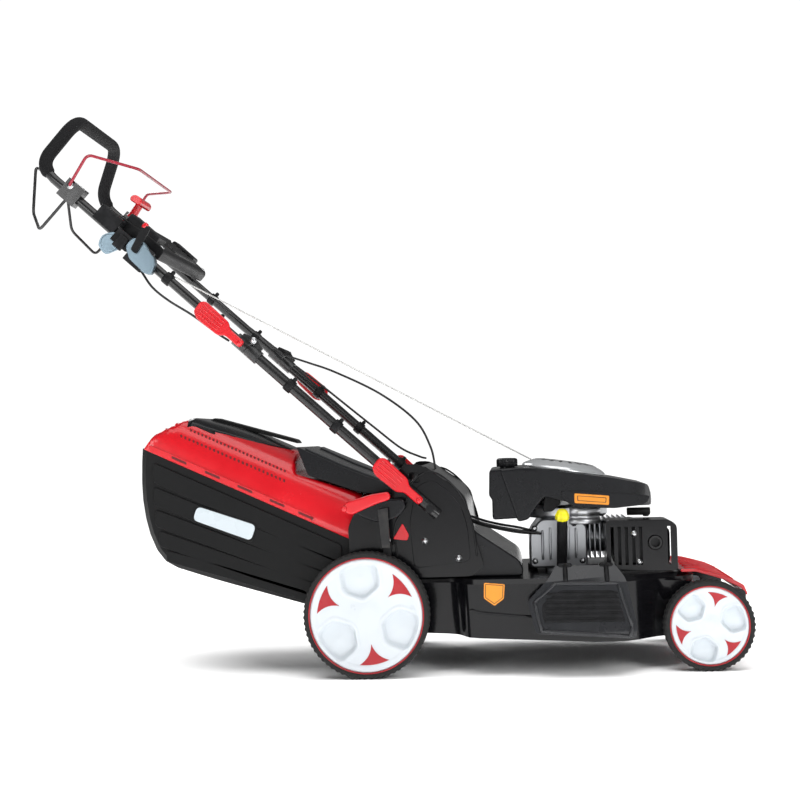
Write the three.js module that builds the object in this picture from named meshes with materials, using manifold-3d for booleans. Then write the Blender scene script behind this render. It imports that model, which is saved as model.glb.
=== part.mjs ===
// Walk-behind lawn mower: pressed steel deck, four-stroke engine, rear grass catcher and a folding handle.
// Millimetres, +Z up, +X forward, ground at z = 0; the group is centred in plan at the end.
import * as THREE from "three";
import { mergeVertices } from "three/addons/utils/BufferGeometryUtils.js";
import Module from "manifold-3d";

const wasm = await Module();
wasm.setup();

// ---------------------------------------------------------------- driving dimensions
const TOUCH = 0.3; // gap between pieces that rest on each other
const RUN = 0.5; // radial clearance of a shaft in its hole
const WHEELBASE = 756;
const REAR_WHEEL_R = 140;
const FRONT_WHEEL_R = 100;
const REAR_TYRE_W = 50;
const FRONT_TYRE_W = 45;
const REAR_HALF_TRACK = 280; // centre line to outer face of a rear tyre
const FRONT_HALF_TRACK = 245;
const TYRE_THICKNESS = 14;
const WHEEL_SIDES = 24;
const AXLE_R = 6;
const CRANK_LENGTH = 70; // axle to crank pivot
const CRANK_SAG = 20; // degrees that the crank hangs below level at the highest cut
const CRANK_PIVOT_R = 8;

const DECK_HALF_W = 262;
const TAIL_HALF_W = 205; // deck and brackets between the rear wheels
const DECK_TOP = 212;
const DECK_RIM = 72; // lower edge of the deck at the front
const DECK_REAR_RIM = 92;
const DECK_WALL = 2.5;
const DECK_REAR_X = 85;
const DECK_FRONT_X = 740;
const BRACKET_T = 6;
const BRACKET_GAP = 1; // deck side to bracket
const FLAP_PIN_R = 4;
const FLAP_HINGE = [80, 418]; // x, z of the rear flap's pin
const SIDE_FLAP_HINGE = [-252, 236]; // y, z of the side flap's pin

const CRANK_X = 456; // crankshaft
const SHAFT_R = 12.5;
const BLADE_R = 250;
const BLADE_Z = 100;
const ENGINE_HALF_W = 150;
const COWL_WALL = 3;

const HANDLE_ANGLE = THREE.MathUtils.degToRad(42.46);
const HANDLE_PIVOT = [144, 370];
const HANDLE_HALF_W = 232;
const LOWER_TUBE_R = 12;
const UPPER_TUBE_R = 11;
const TUBE_WALL = 1.5;
const FOLD_S = 548; // distance up the handle to the mid hinge
const FOLD_RISE = 23; // mid hinge above the tube axis
const COLLAR_R = 16;
const CORNER_S = 1187; // where the upper tube turns up to the hand grip
const GRIP_S = 1219;
const GRIP_RISE = 133;
const GRIP_HALF_W = 160;
const FOAM_R = 15.5;
const PIN_R = 5;
const BAIL_S = 1097; // distance up the handle to the two bails' pivots
const BLOCK_HALF = 15; // half the width of a bail pivot block
const BRAKE_PIVOT_N = 14;
const DRIVE_PIVOT_N = -10;
const WIRE_R = 3.5;
const GRIP_SEAT_S = 968;
const GRIP_SEAT_Y = 150;
const GRIP_LEAN = 0.12; // radians that the starter grip leans up the handle
const ROPE_R = 1.75;
const CABLE_R = 2.7;

const CATCHER_HALF_W = 200;
const CATCHER_WALL = 3;
const CATCHER_FRONT_X = -15;
const CATCHER_REAR_X = -519;
const CATCHER_EDGE_Z = 514; // tub rim at its rear end
const CATCHER_TOP_Z = 587;
const EDGE_FALL = 0.4573; // slope of the joint between tub and lid

// ---------------------------------------------------------------- finishes
const FINISH = {
  blackPaint: { color: 0x0c0c0e, roughness: 0.25, metalness: 0.2 },
  blackPlastic: { color: 0x17181a, roughness: 0.55, metalness: 0 },
  greyPlastic: { color: 0x2e3033, roughness: 0.5, metalness: 0 },
  redPlastic: { color: 0xd8121c, roughness: 0.3, metalness: 0 },
  whitePlastic: { color: 0xe6edf2, roughness: 0.35, metalness: 0 },
  silverPaint: { color: 0xc9cdd2, roughness: 0.3, metalness: 0.6 },
  castAlloy: { color: 0x8d9196, roughness: 0.45, metalness: 0.9 },
  brightAlloy: { color: 0xb9bdc2, roughness: 0.35, metalness: 0.95 },
  steel: { color: 0x9aa3ab, roughness: 0.35, metalness: 1 },
  zinc: { color: 0x7f93a1, roughness: 0.4, metalness: 0.9 },
  rubber: { color: 0x101011, roughness: 0.85, metalness: 0 },
  foam: { color: 0x1b1b1c, roughness: 0.95, metalness: 0 },
  yellowPlastic: { color: 0xf2e010, roughness: 0.4, metalness: 0 },
  rope: { color: 0xf0f0ee, roughness: 0.8, metalness: 0 },
  redPaint: { color: 0xb3202c, roughness: 0.3, metalness: 0.2 },
};

// ---------------------------------------------------------------- solids
/** A closed geometry as a solid that can be joined and cut. */
function solidOf(geometry) {
  const bare = geometry.index ? geometry.toNonIndexed() : geometry.clone();
  bare.deleteAttribute("normal");
  bare.deleteAttribute("uv");
  const merged = mergeVertices(bare, 1e-3);
  const index = merged.index.array;
  const kept = [];
  for (let i = 0; i < index.length; i += 3) {
    const [a, b, c] = [index[i], index[i + 1], index[i + 2]];
    if (a !== b && b !== c && c !== a) kept.push(a, b, c);
  }
  return new wasm.Manifold(
    new wasm.Mesh({
      numProp: 3,
      vertProperties: merged.attributes.position.array,
      triVerts: new Uint32Array(kept),
    }),
  );
}

/** A solid as a geometry again. */
function geometryOf(solid) {
  const mesh = solid.getMesh();
  const geometry = new THREE.BufferGeometry();
  geometry.setAttribute("position", new THREE.BufferAttribute(Float32Array.from(mesh.vertProperties), 3));
  geometry.setIndex(new THREE.BufferAttribute(Uint32Array.from(mesh.triVerts), 1));
  geometry.computeVertexNormals();
  return geometry;
}

const join = (...pieces) => geometryOf(pieces.map(solidOf).reduce((a, b) => a.add(b)));
const cut = (piece, ...tools) =>
  geometryOf(tools.map(solidOf).reduce((a, b) => a.subtract(b), solidOf(piece)));
const common = (...pieces) => geometryOf(pieces.map(solidOf).reduce((a, b) => a.intersect(b)));

/** A polygon whose corners are rounded by up to the radius. */
function rounded(points, radius = 0) {
  const shape = new THREE.Shape();
  const corners = points.map(([x, y]) => new THREE.Vector2(x, y));
  corners.forEach((corner, i) => {
    const before = corners.at(i - 1);
    const after = corners[(i + 1) % corners.length];
    const reach = Math.min(radius, before.distanceTo(corner) * 0.45, after.distanceTo(corner) * 0.45);
    const from = corner.clone().add(before.clone().sub(corner).setLength(reach || 1e-6));
    const to = corner.clone().add(after.clone().sub(corner).setLength(reach || 1e-6));
    if (radius === 0) {
      if (i === 0) shape.moveTo(corner.x, corner.y);
      else shape.lineTo(corner.x, corner.y);
      return;
    }
    if (i === 0) shape.moveTo(from.x, from.y);
    else shape.lineTo(from.x, from.y);
    shape.quadraticCurveTo(corner.x, corner.y, to.x, to.y);
  });
  shape.closePath();
  return shape;
}

/** Thickens a shape along +Z; bevel rounds both rims inwards and inset shrinks the whole outline. */
function thickened(shape, depth, bevel = 0, inset = 0) {
  return new THREE.ExtrudeGeometry(shape, {
    depth: depth - 2 * bevel,
    curveSegments: 2,
    bevelEnabled: bevel > 0 || inset > 0,
    bevelThickness: bevel,
    bevelSize: bevel,
    bevelOffset: -bevel - inset,
    bevelSegments: 1,
  }).translate(0, 0, bevel);
}

/** A shape drawn in X and Z, thick from y0 to y1. */
const sidePlate = (shape, y0, y1, bevel, inset) =>
  thickened(shape, y1 - y0, bevel, inset).rotateX(Math.PI / 2).translate(0, y1, 0);
/** A shape drawn in X and Y, thick from z0 to z1. */
const topPlate = (shape, z0, z1, bevel, inset) => thickened(shape, z1 - z0, bevel, inset).translate(0, 0, z0);
/** A shape drawn in Y and Z, thick from x0 to x1. */
const crossPlate = (shape, x0, x1) =>
  thickened(shape, x1 - x0)
    .applyMatrix4(new THREE.Matrix4().set(0, 0, 1, 0, 1, 0, 0, 0, 0, 1, 0, 0, 0, 0, 0, 1))
    .translate(x0, 0, 0);

const box = (x0, x1, y0, y1, z0, z1) =>
  new THREE.BoxGeometry(x1 - x0, y1 - y0, z1 - z0).translate((x0 + x1) / 2, (y0 + y1) / 2, (z0 + z1) / 2);
const rodY = (r, y0, y1, x, z, sides = 12) =>
  new THREE.CylinderGeometry(r, r, y1 - y0, sides).translate(x, (y0 + y1) / 2, z);
const rodZ = (r, z0, z1, x, y, sides = 16) =>
  new THREE.CylinderGeometry(r, r, z1 - z0, sides).rotateX(Math.PI / 2).translate(x, y, (z0 + z1) / 2);
const rodX = (r, x0, x1, y, z, sides = 12) =>
  new THREE.CylinderGeometry(r, r, x1 - x0, sides).rotateZ(Math.PI / 2).translate((x0 + x1) / 2, y, z);

/** Turns a closed [radius, height] profile about +Y, with flats square to the X and Z axes. */
function turned(profile, sides) {
  const points = profile.map(([r, h]) => new THREE.Vector2(r, h));
  const area = points.reduce((sum, p, i) => sum + p.cross(points[(i + 1) % points.length]), 0);
  if (area < 0) points.reverse();
  if (profile.every(([r]) => r > 0)) points.push(points[0].clone());
  return new THREE.LatheGeometry(points, sides, Math.PI / sides);
}

/** A route through fixed points that is swept point by point. */
class Route extends THREE.Curve {
  constructor(points) {
    super();
    this.points = points;
  }

  getPoint(t, target = new THREE.Vector3()) {
    const place = t * (this.points.length - 1);
    const i = Math.min(Math.floor(place), this.points.length - 2);
    return target.lerpVectors(this.points[i], this.points[i + 1], place - i);
  }

  getPointAt(t, target) {
    return this.getPoint(t, target);
  }

  getTangentAt(t, target = new THREE.Vector3()) {
    const last = this.points.length - 1;
    const i = Math.round(t * last);
    return target.subVectors(this.points[Math.min(i + 1, last)], this.points[Math.max(i - 1, 0)]).normalize();
  }
}

/** The points of a bent rod: straight runs with rounded corners. */
function bent(corners, radius, steps = 4) {
  const points = corners.map((c) => new THREE.Vector3(...c));
  const made = [points[0]];
  for (let i = 1; i < points.length - 1; i++) {
    const [before, corner, after] = [points[i - 1], points[i], points[i + 1]];
    const reach = Math.min(radius, before.distanceTo(corner) * 0.45, after.distanceTo(corner) * 0.45);
    const from = corner.clone().add(before.clone().sub(corner).setLength(reach));
    const to = corner.clone().add(after.clone().sub(corner).setLength(reach));
    made.push(...new THREE.QuadraticBezierCurve3(from, corner, to).getPoints(steps));
  }
  made.push(points.at(-1));
  return made;
}

/** The points of a cable: a smooth curve through its route. */
const flowing = (corners, steps) =>
  new THREE.CatmullRomCurve3(
    corners.map((c) => new THREE.Vector3(...c)), false, "centripetal").getPoints(steps);

/** Sweeps a round section, hollow where a bore is given, along points. */
function swept(points, radius, bore = 0, sides = 8) {
  const section = new THREE.Shape().absarc(0, 0, radius, 0, 2 * Math.PI);
  if (bore > 0) section.holes.push(new THREE.Path().absarc(0, 0, bore, 0, 2 * Math.PI, true));
  return new THREE.ExtrudeGeometry(section, {
    steps: points.length - 1,
    curveSegments: sides / 2,
    extrudePath: new Route(points),
    bevelEnabled: false,
  });
}

/** Adds a named mesh of its own material to a group. */
function part(group, name, geometry, finish) {
  const mesh = new THREE.Mesh(geometry, new THREE.MeshStandardMaterial(FINISH[finish]));
  mesh.name = name;
  group.add(mesh);
  return mesh;
}

// ---------------------------------------------------------------- wheels
/** One tyre on its rim; side is -1 for the right-hand side of the mower. */
function addWheel(group, name, side, x, radius, width, halfTrack) {
  const wheel = new THREE.Group();
  wheel.position.set(x, 0, radius);
  const corner = 1 / Math.cos(Math.PI / WHEEL_SIDES); // puts the flats, not the corners, at the radius
  const at = (r, depth) => [r * corner, side * (halfTrack - depth)];
  const seat = radius - TYRE_THICKNESS;
  const shoulder = 4;
  const tyre = [
    at(seat, 2),
    at(radius - shoulder, 0),
    at(radius, shoulder),
    at(radius, width - shoulder),
    at(radius - shoulder, width),
    at(seat, width - 2),
  ];
  const rimR = seat - TOUCH;
  const bore = AXLE_R + RUN;
  const hubR = bore + 14;
  const rim = [
    at(bore, 2),
    at(hubR, 2),
    at(hubR + 2, 8),
    at(rimR - 10, 8),
    at(rimR - 6, 3),
    at(rimR, 3),
    at(rimR, width - 3),
    at(rimR - 6, width - 3),
    at(rimR - 8, 16),
    at(hubR, 18),
    at(bore, width - 8),
  ];
  part(wheel, `${name}_tyre`, turned(tyre, WHEEL_SIDES), "rubber");
  part(wheel, `${name}_rim`, turned(rim, WHEEL_SIDES), "whitePlastic");
  group.add(wheel);
}

/** An axle with its two cranks and the pivot rod that carries it under the deck. */
function crankedAxle(axleX, axleZ, pivot, axleHalf, armY0, armY1) {
  const arm = (side) => {
    const [px, pz] = pivot;
    const slope = Math.atan2(pz - axleZ, px - axleX);
    const [nx, nz] = [-Math.sin(slope) * 12, Math.cos(slope) * 12];
    const outline = rounded(
      [
        [axleX - nx, axleZ - nz],
        [px - nx, pz - nz],
        [px + nx, pz + nz],
        [axleX + nx, axleZ + nz],
      ].map(([x, z], i) => [x + (i === 1 || i === 2 ? 8 : -8), z]),
      10,
    );
    const [y0, y1] = side < 0 ? [-armY1, -armY0] : [armY0, armY1];
    return sidePlate(outline, y0, y1);
  };
  return [
    rodY(AXLE_R, -axleHalf, axleHalf, axleX, axleZ),
    arm(-1),
    arm(1),
    rodY(CRANK_PIVOT_R, -armY1 + 1, armY1 - 1, ...pivot),
  ];
}

const crankAngle = THREE.MathUtils.degToRad(CRANK_SAG);
const crankReach = [CRANK_LENGTH * Math.cos(crankAngle), CRANK_LENGTH * Math.sin(crankAngle)];
const REAR_CRANK_PIVOT = [crankReach[0], REAR_WHEEL_R + crankReach[1]];
const FRONT_CRANK_PIVOT = [WHEELBASE + crankReach[0], FRONT_WHEEL_R + crankReach[1]];
const BRACKET_Y0 = TAIL_HALF_W + BRACKET_GAP;
const BRACKET_Y1 = BRACKET_Y0 + BRACKET_T;
const REAR_ARM_Y = [BRACKET_Y1 + 1.5, BRACKET_Y1 + 7];

function addRunningGear(group) {
  for (const [hand, side] of [
    ["right", -1],
    ["left", 1],
  ]) {
    addWheel(group, `rear_${hand}`, side, 0, REAR_WHEEL_R, REAR_TYRE_W, REAR_HALF_TRACK);
    addWheel(group, `front_${hand}`, side, WHEELBASE, FRONT_WHEEL_R, FRONT_TYRE_W, FRONT_HALF_TRACK);
  }
  const [px, pz] = REAR_CRANK_PIVOT;
  const axleEnd = 3;
  const rear = crankedAxle(0, REAR_WHEEL_R, REAR_CRANK_PIVOT, REAR_HALF_TRACK - axleEnd, ...REAR_ARM_Y);
  const stemY = -REAR_ARM_Y[1] - 3.5;
  const riserY = -HANDLE_HALF_W - 36;
  const stem = rounded([[px - 42, pz - 18], [px - 22, pz - 20], [px - 10, pz + 132], [px - 28, pz + 132]]);
  const riser = rounded([[px - 28, pz + 124], [px - 10, pz + 124], [px - 14, pz + 212], [px - 36, pz + 208]]);
  part(
    group,
    "rear_axle",
    join(
      ...rear,
      sidePlate(stem, stemY, -REAR_ARM_Y[1] + 1),
      box(px - 28, px - 10, riserY, -REAR_ARM_Y[1], pz + 124, pz + 132),
      sidePlate(riser, riserY, riserY + 5),
    ),
    "steel",
  );
  const grip = rounded(
    [[-112, 195], [-108, 222], [-46, 238], [4, 245], [8, 225], [-26, 220], [-76, 210]].map(
      ([x, z]) => [px + x, pz + z]),
    8,
  );
  const gripBlank = sidePlate(grip, riserY - 5, riserY + 8, 1.5);
  const socket = sidePlate(
    rounded([[px - 29, pz + 110], [px - 9, pz + 110], [px - 12, pz + 213], [px - 38, pz + 213]]),
    riserY - TOUCH,
    riserY + 20,
  );
  part(group, "height_grip", cut(gripBlank, socket), "redPlastic");
  const front = crankedAxle(
    WHEELBASE, FRONT_WHEEL_R, FRONT_CRANK_PIVOT, FRONT_HALF_TRACK - axleEnd, 186, 192);
  part(group, "front_axle", join(...front), "steel");
  const gears = [[8, -8], [50, -4], [px - 9, 16], [px - 12, 40], [30, 44], [8, 30]];
  const gearsHalf = 32;
  part(
    group,
    "gearbox",
    sidePlate(rounded(gears.map(([x, z]) => [x, REAR_WHEEL_R + z]), 8), -gearsHalf, gearsHalf, 2),
    "castAlloy",
  );
}

// ---------------------------------------------------------------- deck
const mirrored = (half) => [...half, ...half.map(([x, y]) => [x, -y]).reverse()];

function deckOutline() {
  return rounded(
    mirrored([
      [DECK_REAR_X, -TAIL_HALF_W],
      [205, -TAIL_HALF_W],
      [222, -DECK_HALF_W],
      [575, -DECK_HALF_W],
      [642, -192],
      [DECK_FRONT_X, -140],
    ]),
    34,
  );
}

function addDeck(group) {
  const bevel = 10;
  const ear = WHEELBASE + 44; // rear edge of the ear that holds the front pivot
  const rail = rounded(
    [
      [DECK_FRONT_X - 104, 130], [DECK_FRONT_X - 40, 168], [ear - 8, 168], [ear, 106], [ear + 46, 106],
      [ear + 46, 170], [ear - 30, 190], [DECK_FRONT_X - 104, 198],
    ],
    8,
  );
  const railY = [176, 182];
  const underRim = [
    [0, -10], [900, -10], [900, DECK_RIM], [500, DECK_RIM], [DECK_REAR_X, DECK_REAR_RIM], [0, DECK_REAR_RIM],
  ];
  const shell = cut(
    join(
      topPlate(deckOutline(), DECK_RIM - bevel, DECK_TOP, bevel),
      sidePlate(rail, -railY[1], -railY[0]),
      sidePlate(rail, ...railY),
    ),
    topPlate(deckOutline(), 0, DECK_TOP - DECK_WALL, bevel, DECK_WALL),
    sidePlate(rounded(underRim), -400, 400),
    box(102, 212, -188, 188, DECK_TOP - 20, DECK_TOP + 5), // roof opening into the chute
    box(392, 562, -DECK_HALF_W - 5, -DECK_HALF_W + 20, 92, 184), // side discharge
    rodZ(30, DECK_TOP - 20, DECK_TOP + 5, CRANK_X, 0),
    rodY(CRANK_PIVOT_R + RUN + 0.3, -200, 200, ...FRONT_CRANK_PIVOT, 16),
  );
  part(group, "deck_shell", shell, "blackPaint");

  const chute = [
    [0, 216], [0, 374], [58, 358], [98, 400], [104, 455], [125, 470], [166, 440], [211, 409],
    [226, 380], [236, 320], [345, 246], [352, 216],
  ];
  const chuteHalf = TAIL_HALF_W - 7;
  const sill = DECK_TOP + TOUCH;
  const chuteShell = cut(
    sidePlate(rounded(chute.map(([x, z]) => [x, z === 216 ? sill : z]), 14), -chuteHalf, chuteHalf, 3),
    sidePlate(rounded(chute, 14), -chuteHalf + 4, chuteHalf - 4, 3, 3),
    box(-10, 12, -chuteHalf + 10, chuteHalf - 10, 228, 350), // mouth towards the catcher
    box(102, 212, -186, 186, DECK_TOP - 5, 240),
    box(225, 350, -60, 60, DECK_TOP - 5, 224),
  );
  part(group, "chute_housing", chuteShell, "blackPlastic");

  const plate = rounded(
    [
      [44, 146], [90, 146], [100, 215], [235, 216], [262, 236], [244, 300], [234, 345], [224, 392],
      [205, 414],
      [150, 452], [118, 470], [84, 470], [62, 440], [58, 402], [20, 352], [2, 335], [2, 290], [40, 250],
    ],
    10,
  );
  for (const [hand, side] of [
    ["right", -1],
    ["left", 1],
  ]) {
    const [y0, y1] = side < 0 ? [-BRACKET_Y1, -BRACKET_Y0] : [BRACKET_Y0, BRACKET_Y1];
    const cutter = (outline) => sidePlate(rounded(outline, 5), y0 - 5, y1 + 5);
    const stud = (r, from, to) => rodY(r, ...(side < 0 ? [-to, -from] : [from, to]), ...HANDLE_PIVOT);
    const tubeOuter = HANDLE_HALF_W + LOWER_TUBE_R;
    part(
      group,
      `bracket_${hand}`,
      join(
        cut(
          sidePlate(plate, y0, y1),
          cutter([[93, 428], [122, 428], [118, 452], [97, 452]]),
          cutter([[162, 384], [186, 388], [180, 410], [166, 408]]),
          rodY(CRANK_PIVOT_R + RUN + 0.3, y0 - 5, y1 + 5, ...REAR_CRANK_PIVOT, 16),
          rodY(FLAP_PIN_R + RUN, y0 - 5, y1 + 5, ...FLAP_HINGE),
        ),
        stud(PIN_R, BRACKET_Y0 + 2, tubeOuter + 4),
        stud(9, tubeOuter + 1, tubeOuter + 7),
      ),
      "blackPaint",
    );
  }

  const seat = DECK_FRONT_X - 2; // front end of the cover's flat on the deck
  const nose = WHEELBASE + 96;
  const cover = rounded(
    [
      [seat - 34, 219], [seat, 219], [nose - 52, 203], [nose - 8, 181], [nose, 160],
      [nose - 6, 158], [nose - 14, 174], [nose - 56, 195], [seat, 212.6], [seat - 34, 212.6],
    ],
    4,
  );
  part(group, "front_cover", sidePlate(cover, -174, 174, 1), "redPlastic");
}

// ---------------------------------------------------------------- flaps
function addFlaps(group) {
  const top = [[-164, 517], [-60, 468], [30, 432], [84, 425]];
  const under = [[84, 411], [40, 400], [-20, 408], [-138, 449]];
  const flapHalf = 172;
  const blank = sidePlate(rounded([...top, ...under], 6), -flapHalf, flapHalf, 1);
  const hollow = sidePlate(
    rounded([[-152, 503], [-60, 461], [28, 426], [40, 395], [-20, 400], [-136, 440]], 4),
    -flapHalf + 6,
    flapHalf - 6,
  );
  part(
    group,
    "rear_flap",
    join(cut(blank, hollow), rodY(FLAP_PIN_R, -BRACKET_Y1 + 1, BRACKET_Y1 - 1, ...FLAP_HINGE)),
    "blackPlastic",
  );

  const [hy, hz] = SIDE_FLAP_HINGE;
  const face = rounded(
    [[425, 246], [549, 242], [570, 214], [592, 112], [588, 84], [372, 98], [356, 168], [402, 214]], 8);
  const section = rounded([
    [hy + 6, hz + 2], [hy - 8, hz + 4], [-292, 205], [-307, 100], [-307, 80],
    [-302, 80], [-302, 100], [-287, 202], [hy - 8, hz - 1], [hy + 6, hz - 3],
  ]);
  const cheek = rounded([[-286, 200], [-303, 100], [-303, 84], [-270, 84], [-268, 200]]);
  const skin = common(sidePlate(face, -330, -200), crossPlate(section, 340, 610));
  const cheeks = [crossPlate(cheek, 374, 378), crossPlate(cheek, 578, 582)].map((c) =>
    common(c, sidePlate(face, -330, -200)),
  );
  part(
    group,
    "side_flap",
    join(skin, ...cheeks, rodX(4, 430, 545, hy, hz)),
    "greyPlastic",
  );
}

// ---------------------------------------------------------------- engine
function addEngine(group) {
  const base = DECK_TOP + TOUCH;
  const caseTop = 334;
  const caseOutline = rounded(
    [[366, base + 8], [500, base + 8], [500, 318], [478, caseTop], [392, caseTop], [366, 300]], 10);
  const shaftHole = SHAFT_R + RUN + 1;
  part(
    group,
    "crankcase",
    cut(
      join(sidePlate(caseOutline, -95, 95, 4), rodZ(94, base, base + 12, CRANK_X, 0, 24)),
      box(384, 490, -78, 78, base - 5, caseTop - 14),
      rodZ(shaftHole, base - 5, caseTop + 5, CRANK_X, 0),
    ),
    "castAlloy",
  );

  const coreR = 38;
  const boreZ = 286;
  const finPitch = 12;
  const fins = Array.from({ length: 8 }, (_, i) => {
    const x = 506 + i * finPitch;
    return box(x, x + 4, -56, 56, 238, 332);
  });
  const head = sidePlate(rounded([[600, 244], [634, 250], [634, 322], [600, 328]], 8), -46, 46);
  part(group, "cylinder", join(rodX(coreR, 500 + TOUCH, 606, 0, boreZ), ...fins, head), "castAlloy");

  const bowlR = 98;
  const bowl = turned(
    [
      [shaftHole + 6, 0], [bowlR - 6, 0], [bowlR, 6], [bowlR, 24],
      [bowlR - 3, 24], [bowlR - 3, 8], [bowlR - 8, 3], [shaftHole + 6, 3],
    ],
    18,
  );
  bowl.rotateX(Math.PI / 2).translate(CRANK_X, 0, caseTop + TOUCH);
  part(group, "blower_housing", bowl, "brightAlloy");

  const journal = [
    [0, 78], [SHAFT_R - 4, 78], [SHAFT_R, 82], [SHAFT_R, 250], [32, 250], [32, 262], [SHAFT_R, 262],
    [SHAFT_R, 366], [8, 366], [8, 404], [0, 404],
  ];
  part(
    group,
    "crankshaft",
    turned(journal, 14).rotateX(Math.PI / 2).translate(CRANK_X, 0, 0),
    "steel",
  );
  const wheelBore = 8 + RUN;
  const flywheel = [
    [wheelBore, 368], [70, 368], [80, 364], [84, 364], [84, 392],
    [78, 392], [70, 380], [24, 380], [22, 392], [wheelBore, 392],
  ];
  part(group, "flywheel", turned(flywheel, 18).rotateX(Math.PI / 2).translate(CRANK_X, 0, 0), "castAlloy");
  const half = [
    [-BLADE_R, -28], [-BLADE_R + 60, -30], [-40, -26], [40, -26], [BLADE_R - 60, -26], [BLADE_R, -22],
  ];
  const bladeOutline = rounded([...half, ...half.map(([x, y]) => [-x, -y])], 4);
  const bladeHole = rodZ(SHAFT_R + RUN, BLADE_Z - 5, BLADE_Z + 9, 0, 0);
  const blade = cut(topPlate(bladeOutline, BLADE_Z, BLADE_Z + 4), bladeHole);
  part(group, "blade", blade.translate(CRANK_X, 0, 0), "steel");

  const cowlSide = [
    [358, 398], [400, 390], [470, 370], [650, 361], [654, 374], [643, 410], [560, 427], [358, 457],
  ];
  const cowlInside = [
    [300, 300], [700, 300], [700, 371], [651, 371], [640, 407], [560, 424], [358, 454], [300, 454],
  ];
  const cowlPlan = mirrored([[358, -ENGINE_HALF_W], [606, -ENGINE_HALF_W], [654, -92]]);
  const eyeR = 88;
  part(
    group,
    "engine_cowl",
    cut(
      common(sidePlate(rounded(cowlSide, 8), -200, 200), topPlate(rounded(cowlPlan, 30), 300, 500)),
      common(
        sidePlate(rounded(cowlInside, 6), -200, 200),
        topPlate(rounded(cowlPlan, 30), 290, 500, 0.01, COWL_WALL),
      ),
      rodZ(eyeR, 350, 500, CRANK_X, 0, 20),
    ),
    "blackPlastic",
  );
  const lidSlope = Math.atan2(457 - 427, 560 - 358);
  const lidR = 100;
  const dome = turned(
    [[0, 22], [45, 21], [80, 15], [lidR - 4, 6], [lidR, 0], [lidR - 5, 0], [76, 11], [44, 17], [0, 18]], 20);
  part(
    group,
    "recoil_cover",
    dome.rotateX(Math.PI / 2).translate(0, 0, 1).rotateY(lidSlope).translate(CRANK_X - 4, 0, 443),
    "silverPaint",
  );

  const tankSide = rounded([[275, 392], [277, 452], [354, 456], [354, 340], [282, 337], [282, 384]], 7);
  const tankHalf = ENGINE_HALF_W - 4;
  const neck = [318, -60];
  const neckR = 18;
  const tankTop = 455;
  part(
    group,
    "fuel_tank",
    cut(
      join(sidePlate(tankSide, -tankHalf, tankHalf, 2.5), rodZ(neckR, tankTop - 8, tankTop + 7, ...neck)),
      box(290, 346, -tankHalf + 12, tankHalf - 12, 348, 444),
      rodZ(neckR - 4, tankTop - 20, tankTop + 10, ...neck),
    ),
    "blackPlastic",
  );
  const capInner = neckR + RUN + 0.5;
  const capR = 25;
  part(
    group,
    "fuel_cap",
    turned(
      [[0, 20], [capR - 3, 20], [capR, 17], [capR, 0], [capInner, 0], [capInner, 8], [0, 8]], 16)
      .rotateX(Math.PI / 2)
      .translate(neck[0], neck[1], tankTop + 1.5),
    "blackPlastic",
  );
  part(
    group,
    "air_filter_box",
    sidePlate(rounded([[388, 250], [500, 250], [506, 345], [388, 352]], 12), 98, ENGINE_HALF_W - 4, 4),
    "blackPlastic",
  );

  const guard = [[539, 216], [699, 216], [699, 318], [682, 331], [539, 331]];
  const guardInside = [[541.5, 218.5], [696.5, 218.5], [696.5, 316], [680, 328.5], [541.5, 328.5]];
  const guardY = [-166, -62];
  const outlet = [649, 280];
  const slots = Array.from({ length: 9 }, (_, i) => 549 + i * 16)
    .filter((x) => Math.abs(x + 4 - outlet[0]) > 30)
    .map((x) => box(x, x + 7, guardY[0] - 5, guardY[0] + 8, 230, 316));
  part(
    group,
    "muffler_guard",
    cut(
      sidePlate(rounded(guard, 8), ...guardY),
      sidePlate(rounded(guardInside, 6), guardY[0] + 2.5, guardY[1] + 5),
      ...slots,
      rodY(17, guardY[0] - 5, guardY[0] + 8, ...outlet),
    ),
    "blackPaint",
  );
  part(
    group,
    "muffler",
    cut(
      join(
        sidePlate(rounded([[556, 228], [684, 228], [684, 308], [670, 318], [556, 318]], 14), -152, -72, 5),
        rodY(15, -172, -150, ...outlet),
      ),
      rodY(11, -180, -158, ...outlet),
    ),
    "steel",
  );
  const boot = join(rodX(9, 596, 650, -58, 345, 10), rodZ(7, 333, 345, 640, -58, 10));
  part(group, "spark_plug_boot", boot, "rubber");

  const filler = new THREE.Group();
  const foot = new THREE.Vector3(438, -132, 228);
  const mouth = new THREE.Vector3(440, -173, 336);
  const length = foot.distanceTo(mouth);
  filler.position.copy(foot);
  filler.quaternion.setFromUnitVectors(new THREE.Vector3(0, 0, 1), mouth.clone().sub(foot).normalize());
  const tubeR = 12;
  const knob = [[0, 0.4], [16, 0.4], [16, 14], [13, 22], [0, 24]];
  const straight = (r, z0, z1, bore, sides) =>
    cut(rodZ(r, z0, z1, 0, 0, sides), rodZ(bore, z0 - 5, z1 + 5, 0, 0, sides));
  part(filler, "oil_filler_tube", straight(tubeR, 0, length, tubeR - 2.5, 14), "blackPlastic");
  part(
    filler,
    "dipstick",
    join(
      turned(knob, 14).rotateX(Math.PI / 2).translate(0, 0, length),
      rodZ(2.5, 12, length + 3, 0, 0, 8),
    ),
    "yellowPlastic",
  );
  group.add(filler);
}

// ---------------------------------------------------------------- handle
/** A paddle that lies along the tube; it points up the handle for direction 1 and down it for -1. */
function paddle(pivotS, direction, side, y0) {
  const thick = 9;
  const outline = [
    [-6, -9], [38, -9], [50, -20], [112, -23], [128, -14], [130, 12], [120, 21], [50, 19], [38, 9], [-6, 9],
  ].map(([s, n]) => [pivotS + direction * s, n]);
  const [a, b] = side > 0 ? [y0, y0 + thick] : [-y0 - thick, -y0];
  return sidePlate(rounded(outline, 6), a, b, 2);
}

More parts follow.
